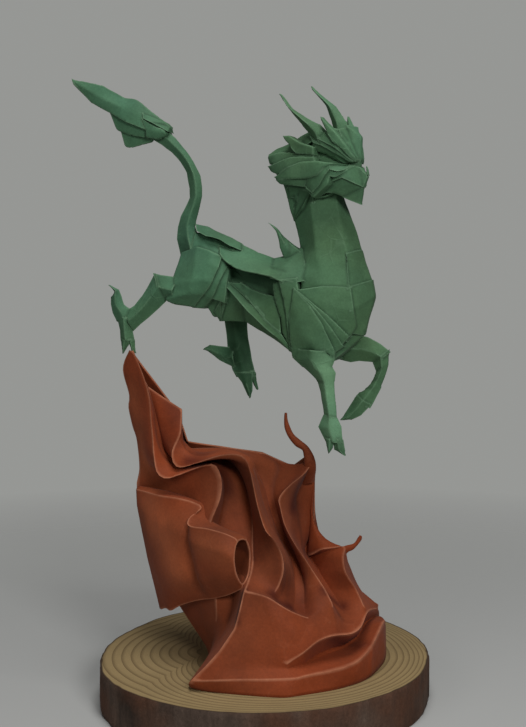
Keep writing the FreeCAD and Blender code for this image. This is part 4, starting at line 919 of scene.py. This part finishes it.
# ---------------------------------------------------------------- stage
# each lamp's place, what it faces, its width and its share of the main light's power
LAMPS = {
    "key": ((0.34, -0.86, 0.56), (0, 0, 0.15), 0.3, 0.62),
    "fill": ((-0.55, -0.80, 0.45), (0, 0, 0.12), 0.4, 0.14),
    "top": ((0.05, -0.24, 1.10), (0, 0, 0.1), 0.5, 0.85),
}
CAMERA_PLACE = (-0.0005, -0.5345, 0.1929)
CAMERA_LENS = 55.46
# how far the camera looks down, in degrees
CAMERA_DIP = 3.5


def floor_disc(color):
    """A pale floor that fades out of sight into the room round it."""
    bm = bmesh.new()
    bmesh.ops.create_circle(bm, cap_ends=True, segments=96, radius=1.6)
    for vert in bm.verts:
        vert.co.z = -0.2 * MM
    disc = new_object("floor", bm)
    n = Nodes("floor", roughness=0.95, specular=0.1)
    away = n.add("ShaderNodeVectorMath", operation="LENGTH")
    n.link(n.place(), away.inputs[0])
    n.link(n.level(away.outputs["Value"], 0.16, 0.60, 1.0, 0.0), n.shader.inputs["Alpha"])
    mottled = n.ramp(n.noise(1.5, 2, 0.5), (0.3, shade(color, 0.97)), (0.7, color))
    disc.data.materials.append(n.finish(mottled))
    return disc


def room(strength, color):
    """Even light all round, and the pale colour that shows behind everything."""
    world = bpy.data.worlds.new("room")
    world.use_nodes = True
    tree = world.node_tree
    light = tree.nodes["Background"]
    light.inputs["Color"].default_value = (0.80, 0.81, 0.82, 1)
    light.inputs["Strength"].default_value = strength
    seen = tree.nodes.new("ShaderNodeBackground")
    seen.inputs["Color"].default_value = (*color, 1)
    seen.inputs["Strength"].default_value = 1.0
    path = tree.nodes.new("ShaderNodeLightPath")
    choice = tree.nodes.new("ShaderNodeMixShader")
    tree.links.new(path.outputs["Is Camera Ray"], choice.inputs["Fac"])
    tree.links.new(light.outputs["Background"], choice.inputs[1])
    tree.links.new(seen.outputs["Background"], choice.inputs[2])
    tree.links.new(choice.outputs["Shader"], tree.nodes["World Output"].inputs["Surface"])
    return world


def area_light(name, place, target, size, power):
    """A round soft lamp that faces its target."""
    light = bpy.data.lights.new(name, "AREA")
    light.shape = "DISK"
    light.size = size
    light.energy = power
    lamp = bpy.data.objects.new(name, light)
    lamp.location = place
    lamp.rotation_euler = (Vector(target) - Vector(place)).to_track_quat("-Z", "Y").to_euler()
    bpy.context.scene.collection.objects.link(lamp)


class KIRIN_OT_stage(bpy.types.Operator):
    """Set up the backdrop, the lights and the camera"""

    bl_idname = "kirin.stage"
    bl_label = "Stage"

    def execute(self, context):
        scene = context.scene
        props = scene.paper_kirin
        floor_disc(tuple(props.floor_color))
        for name, (place, target, size, share) in LAMPS.items():
            area_light(name, place, target, size, props.key_power * share)
        scene.world = room(props.room_light, tuple(props.room_color))
        camera = bpy.data.cameras.new("camera")
        camera.lens = CAMERA_LENS
        camera.clip_start = 0.02
        holder = bpy.data.objects.new("camera", camera)
        holder.location = CAMERA_PLACE
        holder.rotation_euler = (math.radians(90 - CAMERA_DIP), 0, 0)
        scene.collection.objects.link(holder)
        scene.camera = holder
        scene.view_settings.view_transform = "Standard"
        return {"FINISHED"}


# ---------------------------------------------------------------- add-on
def length_prop(name, description, default):
    """A small length, in metres."""
    return bpy.props.FloatProperty(name=name, description=description, default=default,
                                   min=0.0, precision=5, unit="LENGTH")


def color_prop(name, description, default):
    """A plain colour."""
    return bpy.props.FloatVectorProperty(name=name, description=description, default=default,
                                         subtype="COLOR", size=3, min=0.0, max=1.0)


class PaperKirinSettings(bpy.types.PropertyGroup):
    """The sizes, colours and lights that a user would change"""

    kirin_waver: length_prop("Kirin waver", "How far the kirin's paper wavers", 0.3 * MM)
    flame_waver: length_prop("Flame waver", "How far the flame's paper wavers", 0.35 * MM)
    flame_thickness: length_prop("Flame thickness", "Thickness of the flame's paper", 0.7 * MM)
    bark_depth: length_prop("Bark depth", "Depth of the bark's fissures", 1.0 * MM)
    kirin_color: color_prop("Kirin paper", "Colour of the kirin's paper", (0.078, 0.180, 0.093))
    kirin_worn: color_prop("Kirin folds", "Colour along the kirin's worn folds", (0.150, 0.280, 0.160))
    flame_color: color_prop("Flame paper", "Colour of the flame's paper", (0.245, 0.050, 0.0150))
    flame_worn: color_prop("Flame folds", "Colour along the flame's worn folds", (0.500, 0.195, 0.105))
    wood_color: color_prop("Wood", "Colour of the pale end grain", (0.380, 0.275, 0.130))
    ring_color: color_prop("Rings", "Colour of the growth rings", (0.150, 0.100, 0.045))
    bark_color: color_prop("Bark", "Colour of the bark", (0.072, 0.049, 0.037))
    floor_color: color_prop("Floor", "Colour of the floor", (0.50, 0.505, 0.49))
    room_color: color_prop("Room", "Colour that shows behind everything", (0.305, 0.31, 0.298))
    key_power: bpy.props.FloatProperty(name="Key light", description="Power of the main light",
                                       default=6.0, min=0.0, unit="POWER")
    room_light: bpy.props.FloatProperty(name="Room light", default=0.10, min=0.0,
                                        description="Strength of the even light all round")


class KIRIN_PT_panel(bpy.types.Panel):
    """Settings and buttons in the 3D view's sidebar"""

    bl_idname = "KIRIN_PT_panel"
    bl_label = "Paper kirin"
    bl_space_type = "VIEW_3D"
    bl_region_type = "UI"
    bl_category = "Paper kirin"

    def draw(self, context):
        props = context.scene.paper_kirin
        for key in PaperKirinSettings.__annotations__:
            self.layout.prop(props, key)
        for operator in OPERATORS:
            self.layout.operator(operator.bl_idname)


OPERATORS = (KIRIN_OT_kirin, KIRIN_OT_flame, KIRIN_OT_slice, KIRIN_OT_stage)
CLASSES = (PaperKirinSettings, *OPERATORS, KIRIN_PT_panel)


def register():
    for cls in CLASSES:
        bpy.utils.register_class(cls)
    bpy.types.Scene.paper_kirin = bpy.props.PointerProperty(type=PaperKirinSettings)


def unregister():
    del bpy.types.Scene.paper_kirin
    for cls in reversed(CLASSES):
        bpy.utils.unregister_class(cls)


def main():
    """Registers the add-on and builds the kirin, the flame, the slice and the stage."""
    register()
    bpy.ops.kirin.kirin()
    bpy.ops.kirin.flame()
    bpy.ops.kirin.slice()
    bpy.ops.kirin.stage()


if __name__ == "__main__":
    main()
